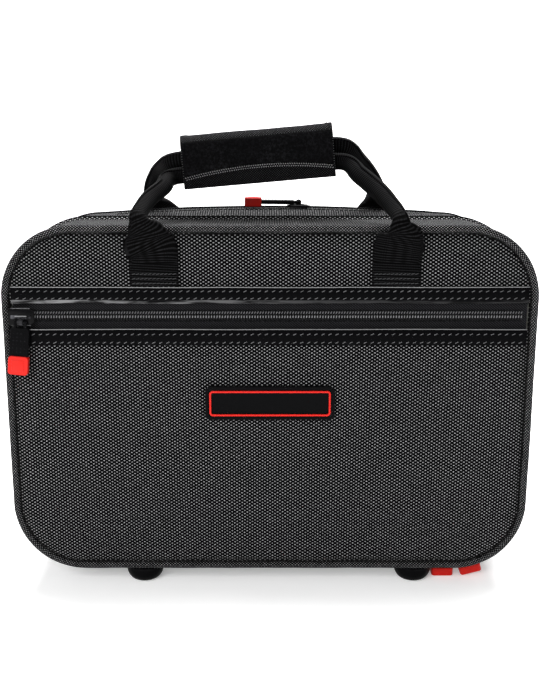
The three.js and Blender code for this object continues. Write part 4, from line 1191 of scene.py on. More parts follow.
class CASE_OT_piping(CaseStep, Operator):
    """Makes the bound piping round the front and the back edge"""

    bl_idname = "case.piping"
    bl_label = "Piping"

    def build(self, case, size):
        radius = size.piping_radius
        make_piping(case, "front_piping_cord", "lid", "front_piping", case.front_y + radius,
                    case.front_y + 0.7 * MM, -1, "piping")
        make_piping(case, "back_piping_cord", "case_body", "back_piping", case.back_y - radius,
                    case.back_y - 0.7 * MM, 1, "dark_piping")


class CASE_OT_hinge_cloth(CaseStep, Operator):
    """Makes the uncut cloth under the case, as a flat sheet that doesn't bend with the lid"""

    bl_idname = "case.hinge_cloth"
    bl_label = "Hinge cloth"

    def build(self, case, size):
        low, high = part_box("lid_hinge_cloth")
        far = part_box("body_hinge_cloth")[1]
        bm = bmesh.new()
        made = bmesh.ops.create_grid(bm, x_segments=60, y_segments=14, size=0.5)["verts"]
        bmesh.ops.scale(bm, verts=made, vec=(high.x - low.x, far.y - low.y, 1))
        bmesh.ops.translate(bm, verts=made, vec=(0, (low.y + far.y) / 2, low.z))
        point_faces(bm, lambda place: Vector((0, 0, -1)))
        flat_uv(bm, 0, 1)
        piece = add_wall(finish_mesh(bm, "hinge_cloth", recalc=False), size.cloth_thickness)
        piece.data.materials.append(finish("cloth"))
        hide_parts("lid_hinge_cloth", "body_hinge_cloth")
        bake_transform(piece)


# Trim and zips


FRONT_MARGIN = 2.6 * MM
TRIM_RISE, TRIM_RISE_PITCH = 0.35 * MM, 60 * MM
TRIM_SWELL, TRIM_SWELL_PITCH = 0.3 * MM, 33 * MM
TRIM_PROUD = 0.5 * MM
TAPE_THICKNESS, REAR_TAPE_INSET = 1 * MM, 3 * MM
LIP_STITCH = 2.3 * MM
COIL_RADIUS = 0.62 * MM
COIL_REACH = 0.52
COIL_OFFSET = 0.42
COIL_SLANT = 0.22


def front_spread(case, size, x):
    """How far a strip of the front reaches on from x to the piping."""
    return Vector((case.half_width - 2 * size.piping_radius - FRONT_MARGIN - x, 0, 0))


def vinyl_strip(name, finish_name, block, rounding, pitch, seed, swell=True, node=None):
    """A strip of vinyl along the front that strays a little up, down and outwards."""
    bm = rounded_block(*block, *rounding, pitch)
    wave(bm, AXIS_Z, TRIM_RISE, TRIM_RISE_PITCH, seed)
    if swell:
        wave(bm, AXIS_Y, TRIM_SWELL, TRIM_SWELL_PITCH, 2.0)
    dress(bm, name, "lid", "black_vinyl", finish_name, *([node] if node else []))


class CASE_OT_trim(CaseStep, Operator):
    """Makes the two vinyl strips beside the pocket zip, with their sewing and their painted highlight strips"""

    bl_idname = "case.trim"
    bl_label = "Vinyl trim"

    def build(self, case, size):
        for level, row_shares, seed in (("upper", (0.32, 0.76), 5.0), ("lower", (0.19, 0.7), 9.0)):
            low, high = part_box(f"{level}_trim_strip")
            spread = front_spread(case, size, high.x)
            strip = (low - spread, high + spread)
            vinyl_strip(f"{level}_vinyl_trim", "vinyl", strip, (0.42 * MM, 3), 6 * MM, seed,
                        node=f"{level}_trim_strip")
            # Painted highlight: a thin strip of light colour along each trim's top edge.
            edge = (Vector((low.x, low.y - 0.15 * MM, high.z - 0.25 * MM)) - spread,
                    Vector((high.x, low.y + TRIM_PROUD, high.z + 0.25 * MM)) + spread)
            vinyl_strip(f"{level}_trim_edge", "vinyl_edge", edge, (0.2 * MM, 2), 12 * MM, seed, swell=False)
            # Painted highlight: runs of light colour along the upper trim's lower edge, most of all towards the
            # left.
            if level == "upper":
                shine = (Vector((low.x, low.y - 0.1 * MM, low.z + 0.1 * MM)) - spread,
                         Vector((high.x, low.y + TRIM_PROUD, low.z + 2.6 * MM)) + spread)
                vinyl_strip("upper_trim_shine", "vinyl_shine", shine, (0.3 * MM, 2), 6 * MM, seed)
            ends = (low.x - spread.x + 2 * MM, high.x + spread.x - 2 * MM)
            for row, share in zip(("low", "high"), row_shares):
                z = low.z + (high.z - low.z) * share
                places = [((x, low.y + 0.02 * MM, z), (1, 0, 0.45), -AXIS_Y)
                          for x in even_places(*ends, size.trim_stitch_pitch)]
                stitch_rows(f"{level}_trim_{row}_stitches", "lid", "black_vinyl", "light_thread", places)


def coil_teeth(name, body, node, places, reach):
    """The nylon coil of one side of a zip: a short turn at each place, with X across the chain."""
    turns = [placed(*place) for place in places]
    return scatter(capsule(reach, COIL_RADIUS), turns, name, body, "zip_coil", "coil", node)


def zigzag(low_x, high_x, size):
    """Places along X for a coil's turns, each with the side that it leans to."""
    places = even_places(low_x, high_x, size.tooth_pitch / 2)
    return [(x, 1 if index % 2 else -1) for index, x in enumerate(places)]


class CASE_OT_pocket_zip(CaseStep, Operator):
    """Makes the front pocket's zip tape, its coil and the painted glints on the coil"""

    bl_idname = "case.pocket_zip"
    bl_label = "Pocket zip"

    def build(self, case, size):
        low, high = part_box("pocket_zip_tape")
        spread = front_spread(case, size, high.x)
        bm = rounded_block(low - spread, high + spread, 0.3 * MM, 2, 8 * MM)
        wave(bm, AXIS_Y, 0.15 * MM, 30 * MM, 6.0)
        flat_uv(bm)
        dress(bm, "pocket_tape_cloth", "lid", "zip_tape", "tape", "pocket_zip_tape")
        low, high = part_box("pocket_zip_chain")
        width = high.z - low.z
        middle = (low + high) / 2
        reach = width * COIL_REACH
        places = []
        for x, side in zigzag(low.x, high.x, size):
            z = middle.z + side * reach * COIL_OFFSET
            places.append(((x, low.y + 0.6 * MM, z), (COIL_SLANT, 0, side), -AXIS_Y))
        coil_teeth("pocket_zip_coil", "lid", "pocket_zip_chain", places, reach)
        # Painted glints: short light capsules in thread colours, one row along the coil's middle and one above
        # it.
        for row, rise, slant, thread in (("middle", -0.3 * MM, 0.1, "bright_thread"),
                                         ("high", 2.6 * MM, 0.5, "light_thread")):
            loops = [placed((x, low.y - 0.1 * MM, middle.z + rise), (slant, 0, 1), -AXIS_Y)
                     for x in even_places(low.x, high.x, 1.85 * MM)]
            scatter(capsule(1.7 * MM, 0.34 * MM), loops, f"pocket_zip_{row}_loops", "lid", "zip_coil", thread)
        threads = [((x, low.y + 1.3 * MM, middle.z + side * width * 0.62), AXIS_X, -AXIS_Y)
                   for side in (-1, 1) for x in even_places(low.x, high.x, size.stitch_pitch)]
        stitch_rows("pocket_zip_stitches", "lid", "zip_tape", "dark_thread", threads)


class CASE_OT_main_zip(CaseStep, Operator):
    """Makes both tapes and both coils of the zip that runs round the case"""

    bl_idname = "case.main_zip"
    bl_label = "Main zip"

    def build(self, case, size):
        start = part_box("lid_hinge_cloth")[1].x + 2 * MM
        sewn_from = case.along(case.half_width, case.side_low + 40 * MM)
        sewn_to = case.along(-case.half_flat + 12 * MM, case.bottom)
        for part, body, side in (("lid", "lid", -1), ("body", "case_body", 1)):
            low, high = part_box(f"{part}_zip_tape")
            inset = case.half_width - high.x
            near, far = (high.y, low.y) if side < 0 else (low.y, high.y)
            rows = [near, near + side * 3 * MM, near + side * 7 * MM, far]
            section = [(inset, y) for y in rows] + [(inset + TAPE_THICKNESS, y) for y in reversed(rows)]
            bm = bmesh.new()
            round_strip(bm, case, section, start)
            outline_uv(bm, case)
            case.lift(bm)
            dress(bm, f"{part}_zip_tape_cloth", body, "zip_tape", "tape", f"{part}_zip_tape")
            low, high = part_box(f"{part}_zip_chain")
            inset = case.half_width - high.x + 0.7 * MM
            offset = 0.5 * size.tooth_pitch if side > 0 else 0.0
            places = []
            for distance in even_places(start, case.length() - start, size.tooth_pitch):
                place, along, out = outline_place(case, distance + offset, inset, (high.y + low.y) / 2)
                places.append((place, 0.2 * along + AXIS_Y * side, out))
            coil_teeth(f"{part}_zip_coil", body, f"{part}_zip_chain", places, high.y - low.y)
            sewn = round_stitches(case, -0.95 * MM, case.seam_y + side * LIP_STITCH, sewn_from, sewn_to,
                                  LIP_STITCH, 1.0)
            stitch_rows(f"{part}_lip_stitches", body, "woven_nylon", "dark_thread", sewn)


class CASE_OT_rear_zip(CaseStep, Operator):
    """Makes the rear pocket's zip on the crowned top"""

    bl_idname = "case.rear_zip"
    bl_label = "Rear zip"

    def build(self, case, size):
        low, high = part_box("rear_zip_tape")
        tape_top = case.top - REAR_TAPE_INSET
        bm = bmesh.new()
        add_block(bm, (low.x, low.y, tape_top - TAPE_THICKNESS), (high.x, high.y, tape_top))
        slice_up(bm, 6 * MM)
        case.lift(bm)
        flat_uv(bm, 1, 0)
        dress(bm, "rear_tape_cloth", "case_body", "zip_tape", "tape", "rear_zip_tape")
        low, high = rear_chain_low, rear_chain_high
        reach = (high.y - low.y) * COIL_REACH
        places = []
        for x, side in zigzag(low.x, high.x, size):
            place = (x, case.rear_zip_y + side * reach * COIL_OFFSET,
                     case.top - 1.6 * MM + case.crown(x, case.rear_zip_y))
            places.append((place, (COIL_SLANT, side, 0), AXIS_Z))
        coil_teeth("rear_zip_coil", "case_body", "rear_zip_chain", places, reach)
        hem = []
        for side in (-1, 1):
            edge = case.rear_zip_y + side * (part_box("rear_slider")[1].y - case.rear_zip_y + 3 * MM)
            for x in even_places(low.x, high.x, size.stitch_pitch):
                hem.append(((x, edge, case.top - size.band_inset + case.crown(x, edge)), AXIS_X, AXIS_Z))
        stitch_rows("rear_window_stitches", "case_body", "woven_nylon", "dark_thread", hem)


# Sliders and pulls


JOINTS = {joint["name"]: joint for joint in frame["joints"]}
PIN_RISE = 3.6 * MM
TIP_LENGTH = 13 * MM
TAB_STOP = 13.3 * MM

# Blocks of a slider, in millimetres along the zip, across it and out: two corners each
SLIDER_PLATE = ((-9, -6.4, -0.4), (9, 6.4, 1.5))
SLIDER_RIDGE = ((-7, -1.4, 1.2), (7, 1.4, 2.1))
SLIDER_TAPER = 0.2

# The pin's eye, in millimetres: its radii, its half width, and where its foot starts and ends
EYE_INNER, EYE_OUTER, EYE_HALF_WIDTH = 1.25, 2.2, 1.9
EYE_FOOT = (1, 2.6)

# Painted highlights on a slider, thin light bars on its ridge and rims: place, length and radius in
# millimetres, and finish
SLIDER_HIGHLIGHTS = (
    ((0, -0.5, 2.1), 8, 0.42, "vinyl_edge"),
    ((0, -5.9, 1.4), 13, 0.3, "slider_edge"),
    ((0, 5.9, 1.4), 13, 0.3, "slider_edge"),
)


class Pull:
    """Where one slider and its pull lie, and how large the pull is, in millimetres and degrees."""

    def __init__(self, names, along, across, pin_offset, droop, length, tip_width, tip_thick, lean=0.0):
        self.slider, self.pull, self.tip, joint = names
        self.pin = Vector(JOINTS[joint]["pos_m"])
        self.lean = lean
        self.along = Vector(along).normalized()
        self.across = Vector(across)
        self.out = self.along.cross(self.across)
        self.pin_offset = pin_offset * MM
        self.length, self.tip_width, self.tip_thick = length * MM, tip_width * MM, tip_thick * MM
        angle = math.radians(droop)
        if pin_offset:
            self.forward = self.across * math.cos(angle) + self.out * math.sin(angle)
        else:
            self.forward = -self.along
        self.surface = self.pin - self.across * self.pin_offset - self.out * PIN_RISE

    def slider_matrix(self):
        matrix = Matrix((self.along, self.across, self.out)).transposed().to_4x4()
        matrix.translation = self.surface
        return matrix

    def pull_matrix(self):
        pin_way = -self.along if self.pin_offset else -self.across
        matrix = Matrix((self.forward, pin_way, self.forward.cross(pin_way))).transposed().to_4x4()
        matrix.translation = self.pin
        return matrix @ Matrix.Rotation(math.radians(self.lean), 4, "Z")


def find_pulls(case):
    """The four sliders with their pulls."""
    lean = math.asin(JOINTS["rear_pull_flip"]["pos_m"][0] / (case.crown_radius + PIN_RISE))
    left, right = [(f"main_slider_{hand}", f"main_pull_{hand}", f"main_pull_tip_{hand}",
                    f"main_pull_{hand}_swing") for hand in ("left", "right")]
    front, back = (0, -1, 0), (0, 1, 0)
    return [
        Pull(("pocket_slider", "pocket_pull", "pocket_pull_tip", "pocket_pull_swing"),
             (-1, 0, 0), (0, 0, -1), 3.5, 0, 36.2, 13.6, 5.2, -5.4),
        Pull(left, (1, 0, 0), front, 3.5, 6.2, 46, 16, 6.4),
        Pull(right, JOINTS["main_pull_right_swing"]["axis"], front, 3.5, 6.2, 46, 16, 6.4),
        Pull(("rear_slider", "rear_pull", "rear_pull_tip", "rear_pull_flip"),
             (math.cos(lean), 0, -math.sin(lean)), back, 0, 0, 41.5, 14.8, 6.6),
    ]


def append_bmesh(bm, other):
    """Adds another bmesh's faces, turned outwards, and frees it."""
    bmesh.ops.recalc_face_normals(other, faces=other.faces)
    mesh = bpy.data.meshes.new("part")
    other.to_mesh(mesh)
    other.free()
    bm.from_mesh(mesh)
    bpy.data.meshes.remove(mesh)


def add_rounded(bm, low, high, rounding, segments=2):
    """Adds a rounded block to a bmesh."""
    append_bmesh(bm, rounded_block(low, high, rounding, segments))


def build_slider(pull):
    """A cast slider: a shouldered plate, two flanges that grip the coil, and the eye that holds the pull."""
    bm = bmesh.new()
    add_block(bm, *[mm(*corner) for corner in SLIDER_PLATE])
    round_edges(bm, 2, 2.8 * MM, 5)
    for vert in bm.verts:
        vert.co.y *= 1 - SLIDER_TAPER * smooth_share(-vert.co.x, 0, -SLIDER_PLATE[0][0] * MM)
    bevel_sharp(bm, 0.55 * MM, 3)
    for side in (-1, 1):
        low_y, high_y = sorted((side * 4.4, side * 6))
        add_rounded(bm, mm(-6, low_y, -2.6), mm(6.5, high_y, 0.2), 0.4 * MM)
    add_rounded(bm, *[mm(*corner) for corner in SLIDER_RIDGE], 0.5 * MM, 3)
    eye = bmesh.new()
    across_pin = AXIS_X if pull.pin_offset else AXIS_Y
    middle = Vector((0, pull.pin_offset, PIN_RISE))
    radial = across_pin.cross(AXIS_Z)
    corners = [middle + radial * radius * MM + across_pin * reach * MM
               for radius, reach in ((EYE_INNER, -EYE_HALF_WIDTH), (EYE_OUTER, -EYE_HALF_WIDTH),
                                     (EYE_OUTER, EYE_HALF_WIDTH), (EYE_INNER, EYE_HALF_WIDTH))]
    edges = polyline(eye, corners, closed=True)
    verts = list({vert for edge in edges for vert in edge.verts})
    bmesh.ops.spin(eye, geom=verts + edges, cent=middle, axis=across_pin, dvec=(0, 0, 0), angle=2 * math.pi,
                   space=Matrix.Identity(4), steps=20, use_merge=True, use_normal_flip=False,
                   use_duplicate=False)
    bevel_sharp(eye, 0.25 * MM)
    append_bmesh(bm, eye)
    wide = radial * EYE_OUTER * MM + across_pin * EYE_HALF_WIDTH * MM
    wide = Vector((abs(wide.x), abs(wide.y), 0))
    eye_low, eye_high = [Vector((0, pull.pin_offset, z * MM)) for z in EYE_FOOT]
    add_rounded(bm, eye_low - wide, eye_high + wide, 0.3 * MM)
    bmesh.ops.transform(bm, matrix=pull.slider_matrix(), verts=bm.verts)
    return bm


def build_pull(pull):
    """A moulded pull: a fork on the pin, a waisted tab and rows of small grip dots."""
    tab_end = pull.length - TAB_STOP
    bm = bmesh.new()
    add_block(bm, mm(3.6, -6.4, -1.5), (tab_end + 1 * MM, 6.4 * MM, 1.5 * MM))
    round_edges(bm, 2, 1.6 * MM, 4)
    bevel_sharp(bm, 0.6 * MM, 3)
    for side in (-1, 1):
        low_y, high_y = sorted((side * 2.5, side * 4.4))
        add_rounded(bm, mm(-1.1, low_y, -1.1), mm(4.4, high_y, 1.1), 0.45 * MM, 3)
    pin = bmesh.new()
    bmesh.ops.create_cone(pin, cap_ends=True, segments=16, radius1=0.8 * MM, radius2=0.8 * MM, depth=7.4 * MM)
    bmesh.ops.rotate(pin, verts=pin.verts, cent=(0, 0, 0), matrix=Matrix.Rotation(math.pi / 2, 3, "X"))
    append_bmesh(bm, pin)
    dot = small_mesh(lambda made: bmesh.ops.create_icosphere(made, subdivisions=2, radius=0.55 * MM))
    repeat(bm, dot, [Matrix.Translation((x, y * MM, z * MM)) @ Matrix.Diagonal((1, 1, 0.55, 1))
                     for x in even_places(6 * MM, tab_end - 1.5 * MM, 2.6 * MM)
                     for y in (-3.9, -1.3, 1.3, 3.9) for z in (-1.4, 1.4)])
    bpy.data.meshes.remove(dot)
    bmesh.ops.transform(bm, matrix=pull.pull_matrix(), verts=bm.verts)
    return bm


def build_tip(pull):
    """A rubber tip with rounded corners and a shallow bare pad on each face."""
    half_width, half_thick = pull.tip_width / 2, pull.tip_thick / 2
    pad_inset = 2.6 * MM
    bm = bmesh.new()
    add_block(bm, (pull.length - TIP_LENGTH, -half_width, -half_thick), (pull.length, half_width, half_thick))
    round_edges(bm, 2, 2.2 * MM, 5)
    bevel_sharp(bm, 0.7 * MM, 4, 50)
    for side in (-1, 1):
        low_z, high_z = sorted((side * (half_thick - 0.2 * MM), side * (half_thick + 0.3 * MM)))
        add_rounded(bm, (pull.length - 10.4 * MM, pad_inset - half_width, low_z),
                    (pull.length - pad_inset, half_width - pad_inset, high_z), 0.25 * MM)
    bmesh.ops.transform(bm, matrix=pull.pull_matrix(), verts=bm.verts)
    return bm


class CASE_OT_sliders(CaseStep, Operator):
    """Makes the four zip sliders with their pulls and red tips"""

    bl_idname = "case.sliders"
    bl_label = "Sliders and pulls"

    def build(self, case, size):
        for pull in find_pulls(case):
            metal = (pull.slider, "slider_metal")
            dress(build_slider(pull), f"{pull.slider}_cast", *metal, "slider", pull.slider, recalc=False)
            # Painted highlights: thin light bars on each slider's ridge and rims.
            for number, (place, length, radius, highlight_finish) in enumerate(SLIDER_HIGHLIGHTS):
                highlight_bar = pull.slider_matrix() @ placed(mm(*place), AXIS_X, AXIS_Z)
                name = f"{pull.slider}_rubbed_edge_{number}"
                scatter(capsule(length * MM, radius * MM), [highlight_bar], name, *metal, highlight_finish)
            rubber = (pull.pull, "black_rubber", "black_rubber", pull.pull)
            dress(build_pull(pull), f"{pull.pull}_moulded", *rubber, recalc=False)
            dress(build_tip(pull), f"{pull.tip}_rubber", pull.pull, "red_rubber", "red_rubber", pull.tip)


# Badge and feet


PLATE_CORNER, PLATE_BORDER, PLATE_STEP = 4 * MM, 2.4 * MM, 0.5 * MM
FRAME_CORNER, FRAME_WIDTH, FRAME_SINK = 2.4 * MM, 1.3 * MM, 0.8 * MM


class CASE_OT_badge(CaseStep, Operator):
    """Makes the bare badge plate and its red frame"""

    bl_idname = "case.badge"
    bl_label = "Badge"

    def build(self, case, size):
        low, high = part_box("badge_plate")
        middle_x = ((low + high) / 2).x
        bm = bmesh.new()
        add_block(bm, low, high)
        round_edges(bm, 1, PLATE_CORNER, 8)
        front = [face for face in bm.faces if face.normal.y < -0.9]
        bmesh.ops.inset_individual(bm, faces=front, thickness=PLATE_BORDER, depth=0)
        bmesh.ops.inset_individual(bm, faces=front, thickness=PLATE_STEP, depth=-PLATE_STEP)
        bevel_sharp(bm, 0.45 * MM, 3)
        dress(bm, "badge_plate_moulded", "lid", "black_rubber", "black_rubber", "badge_plate")
        low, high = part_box("badge_frame")
        bm = bmesh.new()
        made = bmesh.ops.create_grid(bm, x_segments=1, y_segments=1, size=0.5)["verts"]
        bmesh.ops.scale(bm, verts=made, vec=(high.x - low.x, high.z - low.z, 1))
        bmesh.ops.rotate(bm, verts=made, cent=(0, 0, 0), matrix=Matrix.Rotation(math.pi / 2, 3, "X"))
        bmesh.ops.translate(bm, verts=made, vec=(middle_x, low.y, (low.z + high.z) / 2))
        bmesh.ops.bevel(bm, geom=bm.verts[:], offset=FRAME_CORNER, offset_type="OFFSET", segments=6,
                        profile=0.5, affect="VERTICES", material=-1)
        face = bm.faces[:]
        bmesh.ops.inset_individual(bm, faces=face, thickness=FRAME_WIDTH, depth=0)
        bmesh.ops.delete(bm, geom=face, context="FACES")
        result = bmesh.ops.extrude_face_region(bm, geom=bm.faces[:])
        bmesh.ops.translate(bm, verts=verts_of(result), vec=(0, high.y - low.y + FRAME_SINK, 0))
        bevel_sharp(bm, 0.25 * MM)
        dress(bm, "badge_red_frame", "lid", "red_rubber", "red_rubber", "badge_frame")


FOOT_RIM = 11.6 * MM
RIM_CUT = 0.8 * MM
SCREW_SHAFT = 1.9 * MM


class CASE_OT_feet(CaseStep, Operator):
    """Makes the four domed rubber feet and their screws"""

    bl_idname = "case.feet"
    bl_label = "Feet"

    def build(self, case, size):
        for end, body in (("front", "lid"), ("back", "case_body")):
            for side in ("left", "right"):
                node = f"{end}_{side}_foot"
                low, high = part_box(node)
                radius = (high.x - low.x) / 2
                centre = ((low.x + high.x) / 2, (low.y + high.y) / 2, 0)
                profile = [mm(4.4, 4.8), mm(4.4, 0.6), mm(4.9, 0.05), mm(7.2, 0)]
                profile += quarter_turn(profile[-1], (radius, 8.6 * MM), 9)
                profile += [(radius, FOOT_RIM - RIM_CUT), (radius - RIM_CUT, FOOT_RIM), (8.2 * MM, FOOT_RIM),
                            (8.2 * MM, high.z), (2.4 * MM, high.z), mm(2.4, 5.2), profile[0]]
                bm = bmesh.new()
                lathe(bm, centre, profile, 48)
                bmesh.ops.remove_doubles(bm, verts=bm.verts, dist=MERGE)
                dress(bm, f"{node}_moulded", body, "black_rubber", "black_rubber", node)
                low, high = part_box(f"{node}_screw")
                head = (high.x - low.x) / 2
                profile = [mm(0.9, 1.3), mm(1.5, 1.2), mm(1.6, 0), (head - 0.6 * MM, 0.1 * MM),
                           (head, 0.8 * MM), (head, 3.2 * MM), (SCREW_SHAFT, 3.3 * MM)]
                profile = [(radius, low.z + rise) for radius, rise in profile]
                profile += [(SCREW_SHAFT, high.z - 3 * MM), (0.4 * MM, high.z)]
                bm = bmesh.new()
                for edges in lathe(bm, centre, profile, 24):
                    bmesh.ops.holes_fill(bm, edges=edges, sides=0)
                dress(bm, f"{end}_{side}_screw_turned", body, "screw_steel", "steel", f"{node}_screw")


# Handles


def local_box(node, matrix):
    """The two corners of a CAD node in the axes of a matrix."""
    back = matrix.inverted()
    return corners_of(back @ vert.co for vert in frame["nodes"][node].data.vertices)


def grip_matrix():
    """The grip's middle, with X along it."""
    low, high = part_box("grip_wrap")
    return Matrix.Translation((low + high) / 2) @ Matrix.Rotation(-math.radians(sizes().grip_tilt), 4, "Y")


# A strap's way up from its anchor. Out is a share of the webbing's width, inwards and rise are shares
# of the way to the grip, and wide and thick are shares of the flat webbing's width and thickness.
STRAP_SHARES = {
    ("front", "left"): (
        (0, 0, 0, 1, 1),
        (0.017, -0.011, 0.148, 1.028, 1.34),
        (0.11, -0.041, 0.273, 1.007, 1.99),
        (0.163, -0.069, 0.392, 0.822, 2.98),
        (0.244, -0.075, 0.507, 0.46, 4.75),
        (0.262, -0.009, 0.598, 0.357, 5.56),
        (0.135, 0.313, 0.747, 0.37, 6.11),
        (-0.112, 0.631, 0.884, 0.379, 6.25),
    ),
    ("front", "right"): (
        (0, 0, 0, 1, 1),
        (0.016, -0.011, 0.124, 1.012, 1.34),
        (0.047, -0.041, 0.229, 0.991, 1.99),
        (0.072, -0.069, 0.318, 0.822, 2.98),
        (0.041, -0.078, 0.4, 0.46, 4.49),
        (0.022, -0.026, 0.472, 0.345, 5.56),
        (-0.08, 0.183, 0.561, 0.375, 6.18),
        (-0.343, 0.5, 0.72, 0.417, 6.87),
        (-0.664, 0.78, 0.862, 0.425, 7.01),
    ),
    ("back", "left"): (
        (0, 0, 0, 1, 1),
        (0.015, -0.011, 0.139, 1.001, 1.59),
        (0.151, -0.041, 0.275, 0.963, 2.54),
        (0.286, -0.063, 0.405, 0.745, 3.97),
        (0.399, -0.022, 0.526, 0.44, 6.47),
        (0.409, 0.127, 0.645, 0.416, 6.86),
        (0.309, 0.313, 0.768, 0.409, 6.75),
        (0.093, 0.575, 0.902, 0.409, 6.75),
    ),
    ("back", "right"): (
        (0, 0, 0, 1, 1),
        (0.005, -0.011, 0.119, 1.035, 1.59),
        (-0.011, -0.041, 0.236, 1.059, 2.38),
        (-0.039, -0.063, 0.347, 0.962, 3.57),
        (-0.037, -0.041, 0.455, 0.599, 5.53),
        (-0.083, 0.127, 0.563, 0.449, 7.01),
        (-0.241, 0.313, 0.683, 0.446, 7.36),
        (-0.583, 0.612, 0.848, 0.453, 7.47),
    ),
}
GRIP_RUN_SHARES = (-1, -0.5, 0, 0.5, 1)
STRAP_RIPPLE = 0.22
# How square the webbing's section is when flat, how much of that it loses when rolled, where round the
# section its first edge lies, how much of a turn it fills, and how far one edge lies inside the other
FLAT_POWER, ROLL_POWER, ROLL_START, ROLL_TURN, ROLL_STEP = 7, 4.7, 0.36, 0.98, 0.17
STRAP_LEAST_HALF = 7 * MM


def ring_columns(bm, corners):
    """Every loop of a tube made of rings, with its place round the ring counted on past the seam."""
    bm.verts.index_update()
    for face in bm.faces:
        columns = [loop.vert.index % corners for loop in face.loops]
        wraps = max(columns) - min(columns) > corners / 2
        for loop, column in zip(face.loops, columns):
            yield loop, column + corners if wraps and column < corners / 2 else column


def curve_through(places, share):
    """A smooth curve through the places, with every number of a place carried along."""
    count = len(places) - 1
    index = min(int(share * count), count - 1)
    t = share * count - index
    b, c = places[index], places[index + 1]
    a = places[index - 1] if index else [2 * p - q for p, q in zip(b, c)]
    d = places[index + 2] if index + 2 <= count else [2 * q - p for p, q in zip(b, c)]
    return [0.5 * (2 * q + (r - p) * t + (2 * p - 5 * q + 4 * r - s) * t * t + (3 * q - p - 3 * r + s) * t**3)
            for p, q, r, s in zip(a, b, c, d)]


def strap_places(case, end, side):
    """Where a strap runs from its left anchor to its right one: x, y, z, half width, half thickness."""
    size = sizes()
    face_y = case.front_y if side < 0 else case.back_y
    left_low, left_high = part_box(f"{end}_strap_anchor_left")
    right_low, right_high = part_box(f"{end}_strap_anchor_right")
    width = left_high.x - left_low.x
    thickness = left_high.y - left_low.y
    grip = grip_matrix().translation
    grip_high = local_box("grip_wrap", grip_matrix())[1]
    tilt = math.radians(size.grip_tilt)
    reach = (grip_high.x + size.grip_lead_in) * math.cos(tilt)
    inset = abs(grip.y - face_y) - size.grip_strap_half_depth - size.fit_gap
    seat_depth = thickness / 2 + size.fit_gap
    start_z = left_high.z
    drop = size.front_strap_drop if side < 0 else size.back_strap_drop

    def grip_line(x):
        return grip.z - drop + (x - grip.x) * math.tan(tilt)

    def leg(shares, anchor_x, outwards):
        rise = grip_line(grip.x + outwards * reach) - start_z
        return [(anchor_x + outwards * out * width, inwards * (inset + seat_depth) - seat_depth,
                 start_z + up * rise, wide * width / 2, thick * thickness / 2)
                for out, inwards, up, wide, thick in shares]

    places = leg(STRAP_SHARES[end, "left"], (left_low.x + left_high.x) / 2, -1)
    for share in GRIP_RUN_SHARES:
        x = grip.x + share * reach
        places.append((x, inset, grip_line(x), size.grip_strap_half_height, size.grip_strap_half_depth))
    places += leg(STRAP_SHARES[end, "right"], (right_low.x + right_high.x) / 2, 1)[::-1]
    return [(x, face_y - side * min(inwards, inset), z, wide, thick) for x, inwards, z, wide, thick in places]


def webbing_section(wide, thick, roll, corners=36):
    """Points round the webbing: flat at its ends, and rolled with one edge over the other between them."""
    power = 2 / (FLAT_POWER - ROLL_POWER * roll)
    points = []
    for corner in range(corners):
        share = corner / (corners - 1)
        angle = (share - ROLL_START) * 2 * math.pi * ROLL_TURN
        spiral = 1 - ROLL_STEP * roll * (1 - share)
        right = math.copysign(abs(math.cos(angle)) ** power, math.cos(angle))
        up = math.copysign(abs(math.sin(angle)) ** power, math.sin(angle))
        fold = 1 - 0.3 * roll * math.exp(-((share - 0.52) / 0.05) ** 2) * (1 if wide > thick * 1.3 else 0.3)
        points.append((wide * right * spiral * fold, thick * up * spiral * fold))
    return points


def build_strap(case, end, side):
    """One webbing handle, with ribs that lean where it folds."""
    places = strap_places(case, end, side)
    steps = 260
    rings, rows = [], []
    run = 0.0
    last = None
    thinnest = places[0][4]
    thickest = max(place[4] for place in places)
    for step in range(steps + 1):
        share = step / steps
        here = curve_through(places, share)
        middle = Vector(here[:3])
        ahead = Vector(curve_through(places, min(1, share + 0.002))[:3])
        ahead -= Vector(curve_through(places, max(0, share - 0.002))[:3])
        if step in (0, steps):
            ahead = Vector((0, 0, 1 if step == 0 else -1))
        wide_way = AXIS_Y.cross(ahead).normalized()
        thick_way = ahead.cross(wide_way).normalized()
        roll = smooth_share(here[4], thinnest, thickest)
        section = webbing_section(here[3], here[4], roll)
        run += (middle - last).length if last else 0.0
        last = middle
        points = []
        for right, up in section:
            point = middle + wide_way * right + thick_way * up
            ripple = noise.noise(point / (9 * MM)) * STRAP_RIPPLE * MM * min(1, 8 * share, 8 * (1 - share))
            points.append(point + (point - middle).normalized() * ripple)
        rings.append(points)
        rows.append((run, 4 * roll * (1 - roll), math.hypot(*section[0])))
    bm = bmesh.new()
    follow(bm, rings)
    layer = bm.loops.layers.uv.new("cloth")
    corners = len(rings[0])
    for loop, column in ring_columns(bm, corners):
        run, lean, half_way = rows[loop.vert.index // corners]
        across = column / corners * 2 * math.pi * max(half_way, STRAP_LEAST_HALF)
        loop[layer].uv = (across, run - 0.2 * lean * across)
    dress(bm, f"{end}_handle_webbing", f"{end}_handle", "webbing", "webbing", f"{end}_handle_strap", angle=50)


